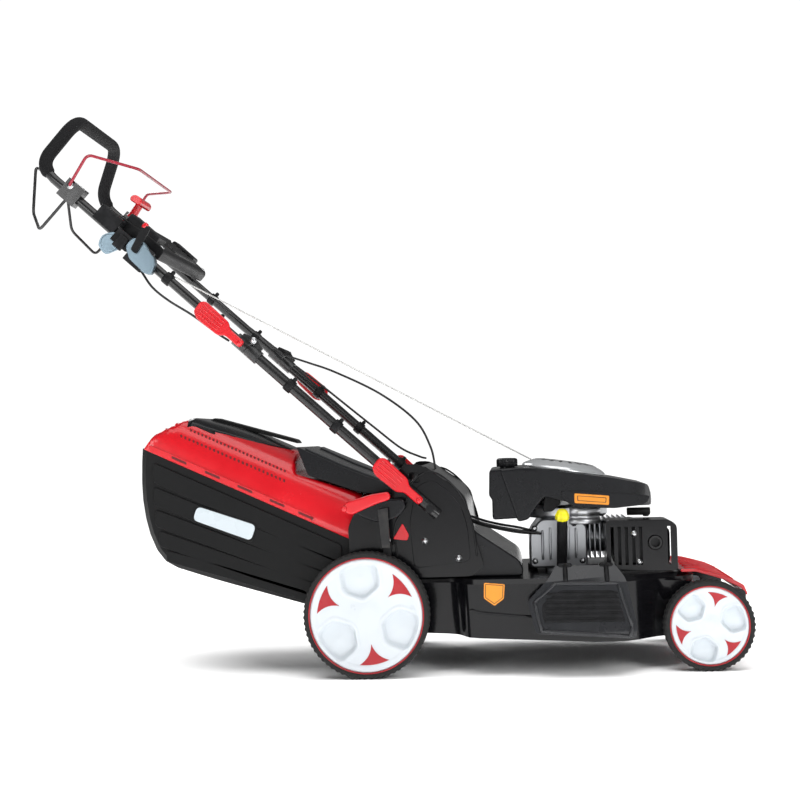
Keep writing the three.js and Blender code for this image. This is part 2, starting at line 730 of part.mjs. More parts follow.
/** The hinge lug on a collar: a web from the collar and a round eye about the fold pin. */
function lug(direction, offsets) {
  const at = (points) => points.map(([s, n]) => [FOLD_S + direction * s, n]);
  const eye = 6.5;
  const top = FOLD_RISE + eye;
  const web = [[1.5, 10], [27, 10], [27, 22], [4, top], [0, top], [0, 17], [1.5, 17]];
  return offsets.flatMap(([a, b]) => [
    rodY(eye, a, b, FOLD_S, FOLD_RISE, 10),
    sidePlate(rounded(at(web)), a, b),
  ]);
}

function addHandle(mower) {
  const handle = new THREE.Group();
  const [c, s] = [Math.cos(HANDLE_ANGLE), Math.sin(HANDLE_ANGLE)];
  handle.matrixAutoUpdate = false;
  // x runs up the handle, y towards the right-hand side, z square to both and away from the ground
  handle.matrix.makeBasis(
    new THREE.Vector3(-c, 0, s), new THREE.Vector3(0, -1, 0), new THREE.Vector3(s, 0, c));
  handle.matrix.setPosition(HANDLE_PIVOT[0], 0, HANDLE_PIVOT[1]);
  mower.add(handle);

  const split = 1; // half the space between the tube ends at the mid hinge
  const collarLength = 34;
  const pipe = (radius, s0, s1, y) => swept(
    [new THREE.Vector3(s0, y, 0), new THREE.Vector3(s1, y, 0)], radius, radius - TUBE_WALL, 10);
  const collar = (s0, s1, y) => rodX(COLLAR_R, s0, s1, y, 0, 12);
  const pinHole = (y) => rodY(PIN_R - 1.2 + RUN, y - 20, y + 20, FOLD_S, FOLD_RISE);
  for (const [hand, side] of [
    ["right", 1],
    ["left", -1],
  ]) {
    const y = side * HANDLE_HALF_W;
    part(
      handle,
      `lower_tube_${hand}`,
      join(
        cut(
          join(
            pipe(LOWER_TUBE_R, -24, FOLD_S - split - 4, y),
            cut(collar(FOLD_S - split - collarLength, FOLD_S - split, y),
              rodX(LOWER_TUBE_R - TUBE_WALL, FOLD_S - 60, FOLD_S - 6, y, 0, 12)),
            ...lug(-1, [[y - 5, y + 5]]),
          ),
          rodY(PIN_R + RUN, y - 20, y + 20, 0, 0),
        ),
        rodY(PIN_R - 1.2, y - 12.5, y + 12.5, FOLD_S, FOLD_RISE),
      ),
      "blackPaint",
    );
    const leverY = HANDLE_HALF_W + LOWER_TUBE_R + 4;
    part(handle, `fold_lever_${hand}`, paddle(30, 1, side, leverY), "redPlastic");
  }
  const clampY = HANDLE_HALF_W + COLLAR_R + 4;
  part(handle, "clamp_lever_right", paddle(FOLD_S + 16, 1, 1, clampY), "redPlastic");
  part(handle, "clamp_lever_left", paddle(FOLD_S - 16, -1, -1, clampY), "redPlastic");

  const leg = (side, s0) => [s0, side * HANDLE_HALF_W, 0];
  const loop = (s0) => [
    leg(1, s0), [CORNER_S, HANDLE_HALF_W, 0], [GRIP_S, GRIP_HALF_W, GRIP_RISE],
    [GRIP_S, -GRIP_HALF_W, GRIP_RISE], [CORNER_S, -HANDLE_HALF_W, 0], leg(-1, s0),
  ];
  const bendR = 46;
  const block = (side) => {
    const y = side * HANDLE_HALF_W;
    return box(BAIL_S - 34, BAIL_S + 14, y - BLOCK_HALF, y + BLOCK_HALF, -20, 28);
  };
  const upperStart = FOLD_S + split;
  const bore = UPPER_TUBE_R - TUBE_WALL;
  part(
    handle,
    "upper_handle",
    cut(
      join(
        swept(bent(loop(upperStart + 4), bendR), UPPER_TUBE_R, 0, 10),
        ...[1, -1].flatMap((side) => {
          const y = side * HANDLE_HALF_W;
          return [
            collar(upperStart, upperStart + collarLength, y),
            block(side),
            ...lug(1, [[y + 6, y + 11], [y - 11, y - 6]]),
          ];
        }),
      ),
      swept(bent(loop(upperStart - 5), bendR), bore, 0, 6),
      pinHole(HANDLE_HALF_W),
      pinHole(-HANDLE_HALF_W),
      ...[1, -1].flatMap((side) => {
        const outer = side * (HANDLE_HALF_W + BLOCK_HALF);
        const inner = side * (HANDLE_HALF_W - BLOCK_HALF);
        return [
          rodY(WIRE_R + RUN, outer - 9, outer + 9, BAIL_S, BRAKE_PIVOT_N),
          rodY(WIRE_R + RUN, inner - 9, inner + 9, BAIL_S, DRIVE_PIVOT_N),
        ];
      }),
    ),
    "blackPaint",
  );
  part(
    handle,
    "foam_grip",
    swept(bent(loop(upperStart), bendR).slice(2, -2), FOAM_R, UPPER_TUBE_R + 1.2, 8),
    "foam",
  );

  const brakeY = HANDLE_HALF_W + BLOCK_HALF + 6;
  const brake = (side) => [
    [BAIL_S, side * (brakeY - 13), BRAKE_PIVOT_N], [BAIL_S, side * brakeY, BRAKE_PIVOT_N],
    [BAIL_S + 15, side * brakeY, 93], [BAIL_S - 63, side * 150, 142],
  ];
  part(handle, "brake_bail", swept(bent([...brake(1), ...brake(-1).reverse()], 14, 3), WIRE_R), "redPaint");
  const driveY = HANDLE_HALF_W - BLOCK_HALF - 6;
  const drive = (side) => [
    [BAIL_S, side * (driveY + 13), DRIVE_PIVOT_N], [BAIL_S, side * driveY, DRIVE_PIVOT_N],
    [BAIL_S, side * driveY, -112], [BAIL_S + 65, side * 140, -99], [BAIL_S + 144, side * 109, -17],
  ];
  part(handle, "drive_bail", swept(bent([...drive(1), ...drive(-1).reverse()], 14, 3), WIRE_R), "blackPaint");

  const panelHalf = HANDLE_HALF_W - UPPER_TUBE_R - 4;
  const panel = rounded([[1018, 12], [1018, 26], [985, 34], [905, 44], [850, 44], [842, 36], [842, 14]], 5);
  const ropeHole = rodZ(8, -10, 60, GRIP_SEAT_S, GRIP_SEAT_Y, 8);
  part(handle, "console", cut(sidePlate(panel, -panelHalf, panelHalf, 1.5), ropeHole), "blackPlastic");

  const housing = rounded(
    [[816, -16], [832, -24], [880, -22], [906, -4], [904, 22], [880, 30], [830, 16]], 8);
  const housingY = HANDLE_HALF_W + UPPER_TUBE_R + 2;
  const thumb = [[872, -3], [888, -3], [902, 52], [898, 62], [886, 62], [882, 52]];
  const plateOutline = rounded([[910, -12], [930, -52], [958, -46], [966, -22], [950, 2], [925, 6]], 9);
  part(
    handle,
    "throttle_body",
    cut(
      join(
        sidePlate(housing, housingY, housingY + 22, 2),
        sidePlate(plateOutline, housingY + 4, housingY + 8),
        box(895, 925, housingY + 3, housingY + 8, -14, 2),
      ),
      rodY(4 + RUN, housingY + 10, housingY + 30, 880, 5),
    ),
    "zinc",
  );
  part(
    handle,
    "throttle_lever",
    join(
      rodY(4, housingY + 12, housingY + 27, 880, 5),
      sidePlate(rounded(thumb, 5), housingY + 22 + TOUCH, housingY + 28),
    ),
    "blackPlastic",
  );

  const stem = new THREE.Group();
  stem.position.set(GRIP_SEAT_S, GRIP_SEAT_Y, 0);
  stem.rotation.y = GRIP_LEAN;
  const foot = 44;
  const neck = [[0, foot], [12, foot], [10, foot + 6], [9, foot + 36], [0, foot + 36]];
  const bar = [
    [-13, foot + 34], [13, foot + 34], [15, foot + 44], [8, foot + 52], [-8, foot + 52], [-15, foot + 44],
  ];
  part(
    stem,
    "starter_grip",
    cut(
      join(
        turned(neck, 12).rotateX(Math.PI / 2),
        sidePlate(rounded(bar, 6), -44, 44, 2),
      ),
      rodZ(ROPE_R + 0.6, foot - 5, foot + 14, 0, 0, 8),
    ),
    "redPlastic",
  );
  handle.add(stem);
  addCables(handle);
}

/** Rope and cables, by points chosen along their runs (up the handle, across, square to it). */
function addCables(handle) {
  const gap = 1;
  const trimmed = (points, start, end) => {
    const made = points.map((p) => p.clone());
    if (start) made[0].lerp(made[1], gap / made[0].distanceTo(made[1]));
    if (end) made[made.length - 1].lerp(made.at(-2), gap / made.at(-1).distanceTo(made.at(-2)));
    return made;
  };
  const eye = [827, 190, 2];
  const recoil = [-103, 64, 232]; // mouth of the recoil starter
  const between = (t) => eye.map((v, i) => v + (recoil[i] - v) * t);
  const meet = 0.3;
  const ropeTop = flowing(
    [
      [974.4, GRIP_SEAT_Y, 53.6], [971.6, GRIP_SEAT_Y, 29.8], [GRIP_SEAT_S, GRIP_SEAT_Y, 5],
      [958, 153, -8], [925, 165, -10], [880, 180, -4], eye,
    ],
    18,
  );
  const ropeUpper = [...ropeTop, ...[0.1, 0.2, meet].map((t) => new THREE.Vector3(...between(t)))];
  const ropeLower = [meet, 0.45, 0.6, 0.75, 0.9, 1].map((t) => new THREE.Vector3(...between(t)));
  part(handle, "rope_upper", swept(trimmed(ropeUpper, false, true), ROPE_R), "rope");
  part(handle, "rope_lower", swept(trimmed(ropeLower, true, true), ROPE_R), "rope");

  const driveRun = [
    [846, 236, -27], [800, 250, -36], [751, 252, -34], [690, 246, -24], [630, 228, -20], [596, 212, -16],
  ];
  part(handle, "drive_cable", swept(flowing(driveRun, 16), CABLE_R), "rubber");
  const arcTop = [[838, -150, 8], [760, -186, 6], [659, -196, 11], [FOLD_S, -196, 16]];
  const arcLow = [
    [FOLD_S, -196, 16], [480, -170, 45], [409, -130, 73], [285, -80, 108], [172, -30, 118], [100, 10, 96],
    [55, 45, 66],
  ];
  part(handle, "throttle_cable_upper", swept(trimmed(flowing(arcTop, 12), false, true), CABLE_R), "rubber");
  part(handle, "throttle_cable_lower", swept(trimmed(flowing(arcLow, 22), true, false), CABLE_R), "rubber");
  const brakeRun = [
    [508, -210, 14], [420, -216, 20], [325, -222, 24], [249, -216, 28], [163, -200, 34], [112, -185, 50],
    [96, -180, 58],
  ];
  part(handle, "brake_cable", swept(flowing(brakeRun, 18), CABLE_R), "rubber");
}

// ---------------------------------------------------------------- catcher
function addCatcher(group) {
  const edgeZ = (x) => CATCHER_EDGE_Z - EDGE_FALL * (x + 502);
  const half = CATCHER_HALF_W;
  const rear = CATCHER_REAR_X;
  const body = [
    [rear + 14, 640], [rear, 490], [rear, 403], [rear + 15, 323], [rear + 48, 256],
    [-352, 217], [-152, 159], [40, 105], [40, 640],
  ];
  const bevel = 12;
  const [past, ahead] = [-700, 100]; // beyond both ends of the catcher
  const above = rounded([[past, edgeZ(past)], [ahead, edgeZ(ahead)], [ahead, 900], [past, 900]]);
  const below = rounded([
    [past, -50], [ahead, -50], [ahead, edgeZ(ahead) + TOUCH], [past, edgeZ(past) + TOUCH],
  ]);
  const mouth = box(CATCHER_FRONT_X, 200, -300, 300, -50, 900);
  const shell = cut(
    sidePlate(rounded(body, 40), -half, half, bevel),
    sidePlate(rounded(body, 40), -half + CATCHER_WALL, half - CATCHER_WALL, bevel, CATCHER_WALL),
    sidePlate(above, -300, 300),
    mouth,
  );
  part(group, "catcher_tub", shell, "blackPlastic");

  const flapLine = (x) => 405 - 0.323 * (x + 10) - 2.5;
  const front = CATCHER_FRONT_X + 40;
  const crown = [
    [rear + 8, 440], [rear + 10, 520], [rear + 30, 548], [rear + 92, CATCHER_TOP_Z - 5],
    [rear + 115, CATCHER_TOP_Z],
    [-178, 521], [-168, flapLine(-168)], [front, flapLine(front)], [front, 200],
  ];
  const slope = Math.atan(EDGE_FALL);
  /** The arched section across the lid, run along the tub's edge. */
  const arch = (inset) => {
    const rise = 150 - inset;
    const wide = half + 3 - inset;
    const curve = Array.from({ length: 13 }, (_, i) => {
      const t = (Math.PI * i) / 12;
      const spread = Math.sign(Math.cos(t)) * Math.abs(Math.cos(t)) ** 0.55;
      return [spread * wide, Math.sin(t) ** 0.8 * rise];
    });
    return crossPlate(rounded([[wide, -60], ...curve, [-wide, -60]]), -150, 700)
      .rotateY(slope)
      .translate(-502, 0, CATCHER_EDGE_Z);
  };
  const lidBlank = common(sidePlate(rounded(crown, 10), -300, 300), arch(0));
  const lidHollow = common(sidePlate(rounded(crown, 10), -299, 299, 0.01, CATCHER_WALL), arch(CATCHER_WALL));
  const lid = cut(lidBlank, lidHollow, sidePlate(below, -301, 301), mouth);
  part(group, "catcher_lid", lid, "redPlastic");

  const strip = (x0, x1, rise0, rise1) => {
    const top = (x) => CATCHER_TOP_Z - ((x - rear - 115) * (CATCHER_TOP_Z - 521)) / (-178 - rear - 115);
    const corners = [[x0, rise0], [x0 + 14, rise1], [x1 - 6, rise1], [x1, rise0]];
    return rounded(corners.map(([x, rise]) => [x, top(x) + rise]), 4);
  };
  part(group, "catcher_handle", sidePlate(strip(rear + 124, -180, TOUCH + 0.4, 9), -30, 30), "blackPlastic");
}

// ---------------------------------------------------------------- assembly
const mower = new THREE.Group();
addRunningGear(mower);
addDeck(mower);
addFlaps(mower);
addEngine(mower);
addHandle(mower);
addCatcher(mower);

mower.updateMatrixWorld(true);
const bounds = new THREE.Box3().setFromObject(mower, true);
const centre = bounds.getCenter(new THREE.Vector3());
mower.children.forEach((child) => {
  child.applyMatrix4(new THREE.Matrix4().makeTranslation(-centre.x, -centre.y, -bounds.min.z));
});

export default mower;
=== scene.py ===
"""Finished look of a walk-behind lawn mower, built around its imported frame.

Every size below is in millimetres on the maker's drawing, whose zero is on the ground under the rear axle,
at the mower's centre line, with X forwards and Y to the mower's left. Datum turns a drawing place into the
frame's metres.
"""

import logging
import math
from collections.abc import Callable, Iterable, Sequence
from dataclasses import dataclass, field
from enum import Enum

import bmesh
import bpy
from mathutils import Matrix, Vector


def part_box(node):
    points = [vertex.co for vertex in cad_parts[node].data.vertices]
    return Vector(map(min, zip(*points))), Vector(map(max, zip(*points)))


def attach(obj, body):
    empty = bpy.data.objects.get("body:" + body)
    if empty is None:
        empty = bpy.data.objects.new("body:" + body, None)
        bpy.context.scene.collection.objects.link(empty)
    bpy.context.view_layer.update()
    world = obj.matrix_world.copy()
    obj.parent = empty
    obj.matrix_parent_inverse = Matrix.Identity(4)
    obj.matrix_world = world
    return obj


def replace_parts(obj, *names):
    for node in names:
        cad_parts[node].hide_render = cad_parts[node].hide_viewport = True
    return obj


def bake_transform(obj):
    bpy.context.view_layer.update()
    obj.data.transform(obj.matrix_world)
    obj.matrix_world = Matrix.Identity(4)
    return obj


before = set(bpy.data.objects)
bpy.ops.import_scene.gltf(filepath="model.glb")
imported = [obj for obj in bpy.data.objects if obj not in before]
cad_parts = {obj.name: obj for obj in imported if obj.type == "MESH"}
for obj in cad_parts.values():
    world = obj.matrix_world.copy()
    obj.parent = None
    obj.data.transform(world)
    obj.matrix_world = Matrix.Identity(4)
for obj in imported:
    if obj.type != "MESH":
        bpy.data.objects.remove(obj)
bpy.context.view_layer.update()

LOG = logging.getLogger("mower")
MM = 0.001
Point = tuple[float, float, float]
Flat = tuple[float, float]
Colour = tuple[float, float, float]


class Side(Enum):
    """A side of the mower, as the sign of its Y."""

    RIGHT = -1
    LEFT = 1

    def span(self, near: float, far: float) -> Flat:
        """Two distances from the centre line as Y on this side, lower first."""
        return tuple(sorted((self.value * near, self.value * far)))


class Tread(Enum):
    """The bands across a tyre's tread."""

    OUTER = "blocks of the outer shoulder"
    GROOVE = "groove"
    RIB = "middle rib"
    INNER = "blocks of the inner shoulder"


class Surface(Enum):
    """What the fine relief of a surface is made of."""

    PAINT = "sprayed paint"
    MOULDED = "moulded plastic"
    CAST = "sand-blasted casting"
    BRUSHED = "brushed metal"
    FOAM = "open foam"
    BRAID = "braided cord"
    RUBBER = "moulded rubber"


# ------------------------------------------------------------------ drawing places
@dataclass(frozen=True)
class Datum:
    """The drawing's zero and the handle's own axes, in the frame."""

    zero: Vector
    pivot: Flat = (144.0, 370.0)
    slope: float = math.radians(42.46)

    @classmethod
    def from_frame(cls) -> "Datum":
        """Finds the drawing's zero from the rear wheels.

        Returns:
            The datum of the loaded frame.
        """
        low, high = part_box("rear_right_tyre")
        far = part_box("rear_left_tyre")[1]
        return cls(Vector(((low.x + high.x) / 2, (low.y + far.y) / 2, 0)))

    def at(self, x: float, y: float, z: float) -> Vector:
        """A drawing place in millimetres as a frame place in metres."""
        return self.zero + Vector((x, y, z)) * MM

    def handle(self, s: float, y: float, n: float) -> Vector:
        """A place on the handle.

        Args:
            s: Distance up the handle from its lower pivot.
            y: Distance from the centre line towards the mower's right.
            n: Distance square to the handle, away from the ground.

        Returns:
            The place in the frame, in metres.
        """
        run, rise = math.cos(self.slope), math.sin(self.slope)
        return self.at(self.pivot[0] - s * run + n * rise, -y, self.pivot[1] + s * rise + n * run)


DATUM = Datum.from_frame()


# ------------------------------------------------------------------ finishes
@dataclass(frozen=True)
class Finish:
    """One material: its colour, gloss, relief and wear."""

    name: str
    colour: Colour
    surface: Surface
    slot: str
    roughness: float = 0.4
    metallic: float = 0.0
    coat: float = 0.0
    coat_roughness: float = 0.1
    relief: float = 0.1
    grain: float = 500.0
    shade: float = 0.12
    smear: float = 0.1
    worn: Colour | None = None
    wear: float = 0.0
    dust: float = 0.0
    sheen: float = 0.0
    specular: float = 0.5

    def material(self) -> bpy.types.Material:
        """The finish as a node material, made once.

        Returns:
            The material.
        """
        made = bpy.data.materials.get(self.name)
        if made is not None:
            return made
        made = bpy.data.materials.new(self.name)
        made.use_nodes = True
        made.diffuse_color = (*self.colour, 1)
        graph = Graph(made)
        shader = graph.shader
        shader.inputs["Metallic"].default_value = self.metallic
        shader.inputs["Coat Weight"].default_value = self.coat
        shader.inputs["Coat Roughness"].default_value = self.coat_roughness
        shader.inputs["Sheen Weight"].default_value = self.sheen
        shader.inputs["Specular IOR Level"].default_value = self.specular
        graph.link(self._colour(graph), shader.inputs["Base Color"])
        blotch = graph.noise(14.0, 4.0, 0.6)
        graph.link(
            graph.ranged(blotch, (0.3, 0.7), (self.roughness - self.smear / 2,
                                              self.roughness + self.smear / 2)),
            shader.inputs["Roughness"],
        )
        graph.link(self._relief(graph), shader.inputs["Normal"])
        return made

    def _colour(self, graph: "Graph") -> bpy.types.NodeSocket:
        """Colour with cloudy shading, rubbed edges and a film of dust.

        Args:
            graph: The node tree that it is written in.

        Returns:
            The colour socket.
        """
        dark = tuple(c * (1 - self.shade) for c in self.colour)
        light = tuple(min(1.0, c * (1 + self.shade)) for c in self.colour)
        shown = graph.mixed(graph.ranged(graph.noise(7.0, 5.0, 0.55), (0.3, 0.7), (0, 1)), dark, light)
        if self.worn is not None:
            edge = graph.ranged(graph.pointiness(), (0.52, 0.6), (0, self.wear))
            rubbed = graph.times(edge, graph.ranged(graph.noise(45.0, 3.0, 0.6), (0.42, 0.6), (0, 1)))
            shown = graph.mixed(rubbed, shown, self.worn)
        if self.dust > 0:
            facing = graph.ranged(graph.facing_up(), (0.2, 1.0), (0.2, 1))
            film = graph.times(facing, graph.ranged(graph.noise(28.0, 8.0, 0.7), (0.45, 0.75),
                                                    (0, self.dust)))
            shown = graph.mixed(film, shown, (0.33, 0.31, 0.28))
        return shown

    def _relief(self, graph: "Graph") -> bpy.types.NodeSocket:
        """The fine relief of the surface as a normal.

        Args:
            graph: The node tree that it is written in.

        Returns:
            The normal socket.
        """
        if self.surface is Surface.BRUSHED:
            height = graph.noise(self.grain, 3.0, 0.5, (1, 0.04, 1))
        elif self.surface is Surface.FOAM:
            height = graph.cells(self.grain)
        elif self.surface is Surface.BRAID:
            height = graph.braid(self.grain)
        elif self.surface is Surface.CAST:
            height = graph.times(graph.cells(self.grain), graph.noise(self.grain * 0.3, 4.0, 0.6))
        else:
            height = graph.noise(self.grain, 3.0, 0.6)
        return graph.bump(height, self.relief)


class Graph:
    """A short way to write a material's nodes."""

    def __init__(self, material: bpy.types.Material) -> None:
        """Keeps the tree, its shader and the coordinates that ride with the piece.

        Args:
            material: A material that uses nodes.
        """
        self.tree = material.node_tree
        self.shader = self.tree.nodes["Principled BSDF"]
        self.place = self.tree.nodes.new("ShaderNodeTexCoord").outputs["Object"]

    def link(self, source: bpy.types.NodeSocket, target: bpy.types.NodeSocket) -> None:
        """Joins two sockets."""
        self.tree.links.new(source, target)

    def _mapped(self, stretch: Point) -> bpy.types.NodeSocket:
        """The coordinates, stretched along each axis.

        Args:
            stretch: Scale along each axis.

        Returns:
            The stretched coordinates.
        """
        node = self.tree.nodes.new("ShaderNodeMapping")
        node.inputs["Scale"].default_value = stretch
        self.link(self.place, node.inputs["Vector"])
        return node.outputs["Vector"]

    def noise(self, scale: float, detail: float, rough: float,
              stretch: Point = (1, 1, 1)) -> bpy.types.NodeSocket:
        """Cloudy noise from 0 to 1.

        Args:
            scale: Cells in a metre.
            detail: Octaves of finer noise.
            rough: Weight of the finer octaves.
            stretch: Scale along each axis.

        Returns:
            The noise socket.
        """
        node = self.tree.nodes.new("ShaderNodeTexNoise")
        node.inputs["Scale"].default_value = scale
        node.inputs["Detail"].default_value = detail
        node.inputs["Roughness"].default_value = rough
        self.link(self._mapped(stretch), node.inputs["Vector"])
        return node.outputs["Fac"]

    def cells(self, scale: float) -> bpy.types.NodeSocket:
        """Rounded cells from 0 to 1.

        Args:
            scale: Cells in a metre.

        Returns:
            The distance from each cell's middle.
        """
        node = self.tree.nodes.new("ShaderNodeTexVoronoi")
        node.inputs["Scale"].default_value = scale
        self.link(self.place, node.inputs["Vector"])
        return node.outputs["Distance"]

    def braid(self, scale: float) -> bpy.types.NodeSocket:
        """Crossing strands from 0 to 1.

        Args:
            scale: Strands in a metre.

        Returns:
            The height of the strands.
        """
        strands = []
        for stretch in ((1.0, 1.0, 1.0), (-1.0, 1.0, 1.0)):
            node = self.tree.nodes.new("ShaderNodeTexWave")
            node.bands_direction = "DIAGONAL"
            node.inputs["Scale"].default_value = scale
            self.link(self._mapped(stretch), node.inputs["Vector"])
            strands.append(node.outputs["Fac"])
        return self.times(*strands)

    def pointiness(self) -> bpy.types.NodeSocket:
        """How sharply the surface turns outwards, about 0.5 where it is flat."""
        return self.tree.nodes.new("ShaderNodeNewGeometry").outputs["Pointiness"]

    def facing_up(self) -> bpy.types.NodeSocket:
        """How much the surface faces up, from -1 to 1.

        Returns:
            The upward part of the normal.
        """
        node = self.tree.nodes.new("ShaderNodeSeparateXYZ")
        self.link(self.tree.nodes.new("ShaderNodeNewGeometry").outputs["Normal"], node.inputs["Vector"])
        return node.outputs["Z"]

    def ranged(self, value: bpy.types.NodeSocket, span: Flat, to: Flat) -> bpy.types.NodeSocket:
        """A value taken from one span to another, held at both ends.

        Args:
            value: The value.
            span: The span it is read over.
            to: What the span's ends become.

        Returns:
            The ranged value.
        """
        node = self.tree.nodes.new("ShaderNodeMapRange")
        self.link(value, node.inputs["Value"])
        for name, number in zip(("From Min", "From Max", "To Min", "To Max"), (*span, *to), strict=True):
            node.inputs[name].default_value = number
        return node.outputs["Result"]

    def times(self, first: bpy.types.NodeSocket, second: bpy.types.NodeSocket) -> bpy.types.NodeSocket:
        """The product of two values.

        Args:
            first: One value.
            second: The other value.

        Returns:
            The product.
        """
        node = self.tree.nodes.new("ShaderNodeMath")
        node.operation = "MULTIPLY"
        self.link(first, node.inputs[0])
        self.link(second, node.inputs[1])
        return node.outputs[0]

    def mixed(self, share: bpy.types.NodeSocket, first: bpy.types.NodeSocket | Colour,
              second: bpy.types.NodeSocket | Colour) -> bpy.types.NodeSocket:
        """A colour between two, by share.

        Args:
            share: Share of the second colour.
            first: Colour or socket where the share is 0.
            second: Colour or socket where the share is 1.

        Returns:
            The mixed colour.
        """
        node = self.tree.nodes.new("ShaderNodeMix")
        node.data_type = "RGBA"
        self.link(share, node.inputs["Factor"])
        for socket, colour in ((node.inputs["A"], first), (node.inputs["B"], second)):
            target = next(i for i in node.inputs if i.name == socket.name and i.type == "RGBA")
            if isinstance(colour, tuple):
                target.default_value = (*colour, 1)
            else:
                self.link(colour, target)
        return next(o for o in node.outputs if o.type == "RGBA")

    def bump(self, height: bpy.types.NodeSocket, strength: float) -> bpy.types.NodeSocket:
        """A height as a bumped normal.

        Args:
            height: Height from 0 to 1.
            strength: How deep the relief reads.

        Returns:
            The bumped normal.
        """
        node = self.tree.nodes.new("ShaderNodeBump")
        node.inputs["Strength"].default_value = strength
        node.inputs["Distance"].default_value = MM
        self.link(height, node.inputs["Height"])
        return node.outputs["Normal"]


BARE_STEEL = (0.45, 0.46, 0.48)
GLOSS_BLACK = Finish("gloss_black_paint", (0.004, 0.004, 0.005), Surface.PAINT, "black_paint", 0.2, coat=0.22,
                     relief=0.06, grain=320, shade=0.08, smear=0.06, dust=0.01, specular=0.18)
TUBE_BLACK = Finish("tube_powder_coat", (0.006, 0.006, 0.0065), Surface.PAINT, "black_paint", 0.26, coat=0.25,
                    coat_roughness=0.2, relief=0.15, grain=700, worn=BARE_STEEL, wear=0.1, dust=0.01)
MOULDED_BLACK = Finish("moulded_black_plastic", (0.007, 0.0072, 0.008), Surface.MOULDED, "black_plastic",
                       0.42,
                       relief=0.35, grain=1400, worn=(0.05, 0.05, 0.055), wear=0.3, dust=0.01, specular=0.18)
COWL_BLACK = Finish("satin_cowl_plastic", (0.007, 0.0074, 0.009), Surface.MOULDED, "black_plastic", 0.22,
                    coat=0.2, relief=0.12, grain=900, smear=0.06, dust=0.01, specular=0.18)
TUB_BLACK = Finish("tub_plastic", (0.0055, 0.0057, 0.006), Surface.MOULDED, "black_plastic", 0.38,
                   relief=0.25, grain=1100, shade=0.08, dust=0.01, specular=0.18)
FLAP_GREY = Finish("flap_plastic", (0.016, 0.017, 0.02), Surface.MOULDED, "grey_plastic", 0.3, coat=0.2,
                   relief=0.2, grain=900, specular=0.4, dust=0.01)
GLOSS_RED = Finish("gloss_red_plastic", (0.68, 0.004, 0.012), Surface.MOULDED, "red_plastic", 0.24, coat=0.4,
                   relief=0.08, grain=500, shade=0.08, dust=0.01)
DEEP_RED = Finish("wheel_insert_red", (0.4, 0.006, 0.014), Surface.MOULDED, "red_plastic", 0.35, relief=0.2,
                  grain=900, worn=(0.5, 0.08, 0.08), wear=0.3)
WIRE_RED = Finish("red_dipped_wire", (0.36, 0.008, 0.03), Surface.PAINT, "red_paint", 0.3, coat=0.3,
                  relief=0.2, grain=900, worn=(0.55, 0.2, 0.2), wear=0.2)
WHEEL_WHITE = Finish("wheel_white_plastic", (0.68, 0.73, 0.77), Surface.MOULDED, "white_plastic", 0.32,
                     relief=0.12, grain=900, shade=0.03, coat=0.15, worn=(0.62, 0.64, 0.66), wear=0.15)
BADGE_WHITE = Finish("badge_white", (0.62, 0.69, 0.73), Surface.PAINT, "white_plastic", 0.25, relief=0.05,
                     grain=500, shade=0.03, coat=0.4)
TYRE_RUBBER = Finish("tyre_rubber", (0.007, 0.0065, 0.007), Surface.RUBBER, "tyre_rubber", 0.6, relief=0.5,
                     grain=1200, shade=0.3, worn=(0.05, 0.048, 0.045), wear=0.5, dust=0.04, specular=0.18)
SILVER = Finish("bright_silver_paint", (0.78, 0.8, 0.82), Surface.PAINT, "silver_paint", 0.22, metallic=0.55,
                coat=0.5, relief=0.06, grain=500, shade=0.04, worn=(0.5, 0.5, 0.52), wear=0.3)
CAST_ALLOY = Finish("cast_alloy", (0.2, 0.205, 0.22), Surface.CAST, "cast_alloy", 0.45, metallic=0.9,
                    relief=0.6, grain=700, shade=0.2, smear=0.2, worn=(0.6, 0.6, 0.62), wear=0.6, dust=0.12)
BRIGHT_ALLOY = Finish("bright_alloy", (0.6, 0.61, 0.63), Surface.BRUSHED, "bright_alloy", 0.3, metallic=0.95,
                      relief=0.2, grain=900, shade=0.08, smear=0.15)
PLAIN_STEEL = Finish("plain_steel", (0.4, 0.41, 0.43), Surface.BRUSHED, "steel", 0.34, metallic=1.0,
                     relief=0.25, grain=1100, shade=0.15, smear=0.2)
ZINC = Finish("zinc_plate", (0.2, 0.27, 0.32), Surface.CAST, "zinc", 0.35, metallic=0.85, relief=0.15,
              grain=600, shade=0.25, smear=0.2)
SHEATH = Finish("cable_sheath", (0.01, 0.01, 0.011), Surface.RUBBER, "rubber", 0.5, relief=0.25, grain=1600)
SOFT_RUBBER = Finish("boot_rubber", (0.012, 0.012, 0.012), Surface.RUBBER, "rubber", 0.7, relief=0.4,
                     grain=900)
FOAM = Finish("grip_foam", (0.008, 0.008, 0.009), Surface.FOAM, "foam", 0.75, relief=0.7, grain=900,
              shade=0.2, sheen=0.02, specular=0.2)
YELLOW = Finish("yellow_plastic", (0.85, 0.75, 0.02), Surface.MOULDED, "yellow_plastic", 0.35, relief=0.15,
                grain=900, shade=0.06, coat=0.2)
CORD_WHITE = Finish("braided_cord", (0.8, 0.8, 0.78), Surface.BRAID, "rope", 0.75, relief=0.8, grain=420,
                    shade=0.08)
LABEL_ORANGE = Finish("orange_label", (0.85, 0.3, 0.02), Surface.PAINT, "yellow_plastic", 0.35, relief=0.05,
                      grain=300, shade=0.05)
LABEL_INK = Finish("label_ink", (0.12, 0.05, 0.01), Surface.PAINT, "black_plastic", 0.4, relief=0.05,
                   grain=300)
BOLT_ZINC = Finish("bolt_zinc", (0.62, 0.63, 0.64), Surface.BRUSHED, "steel", 0.28, metallic=1.0, relief=0.15,
                   grain=900, shade=0.1, smear=0.15)
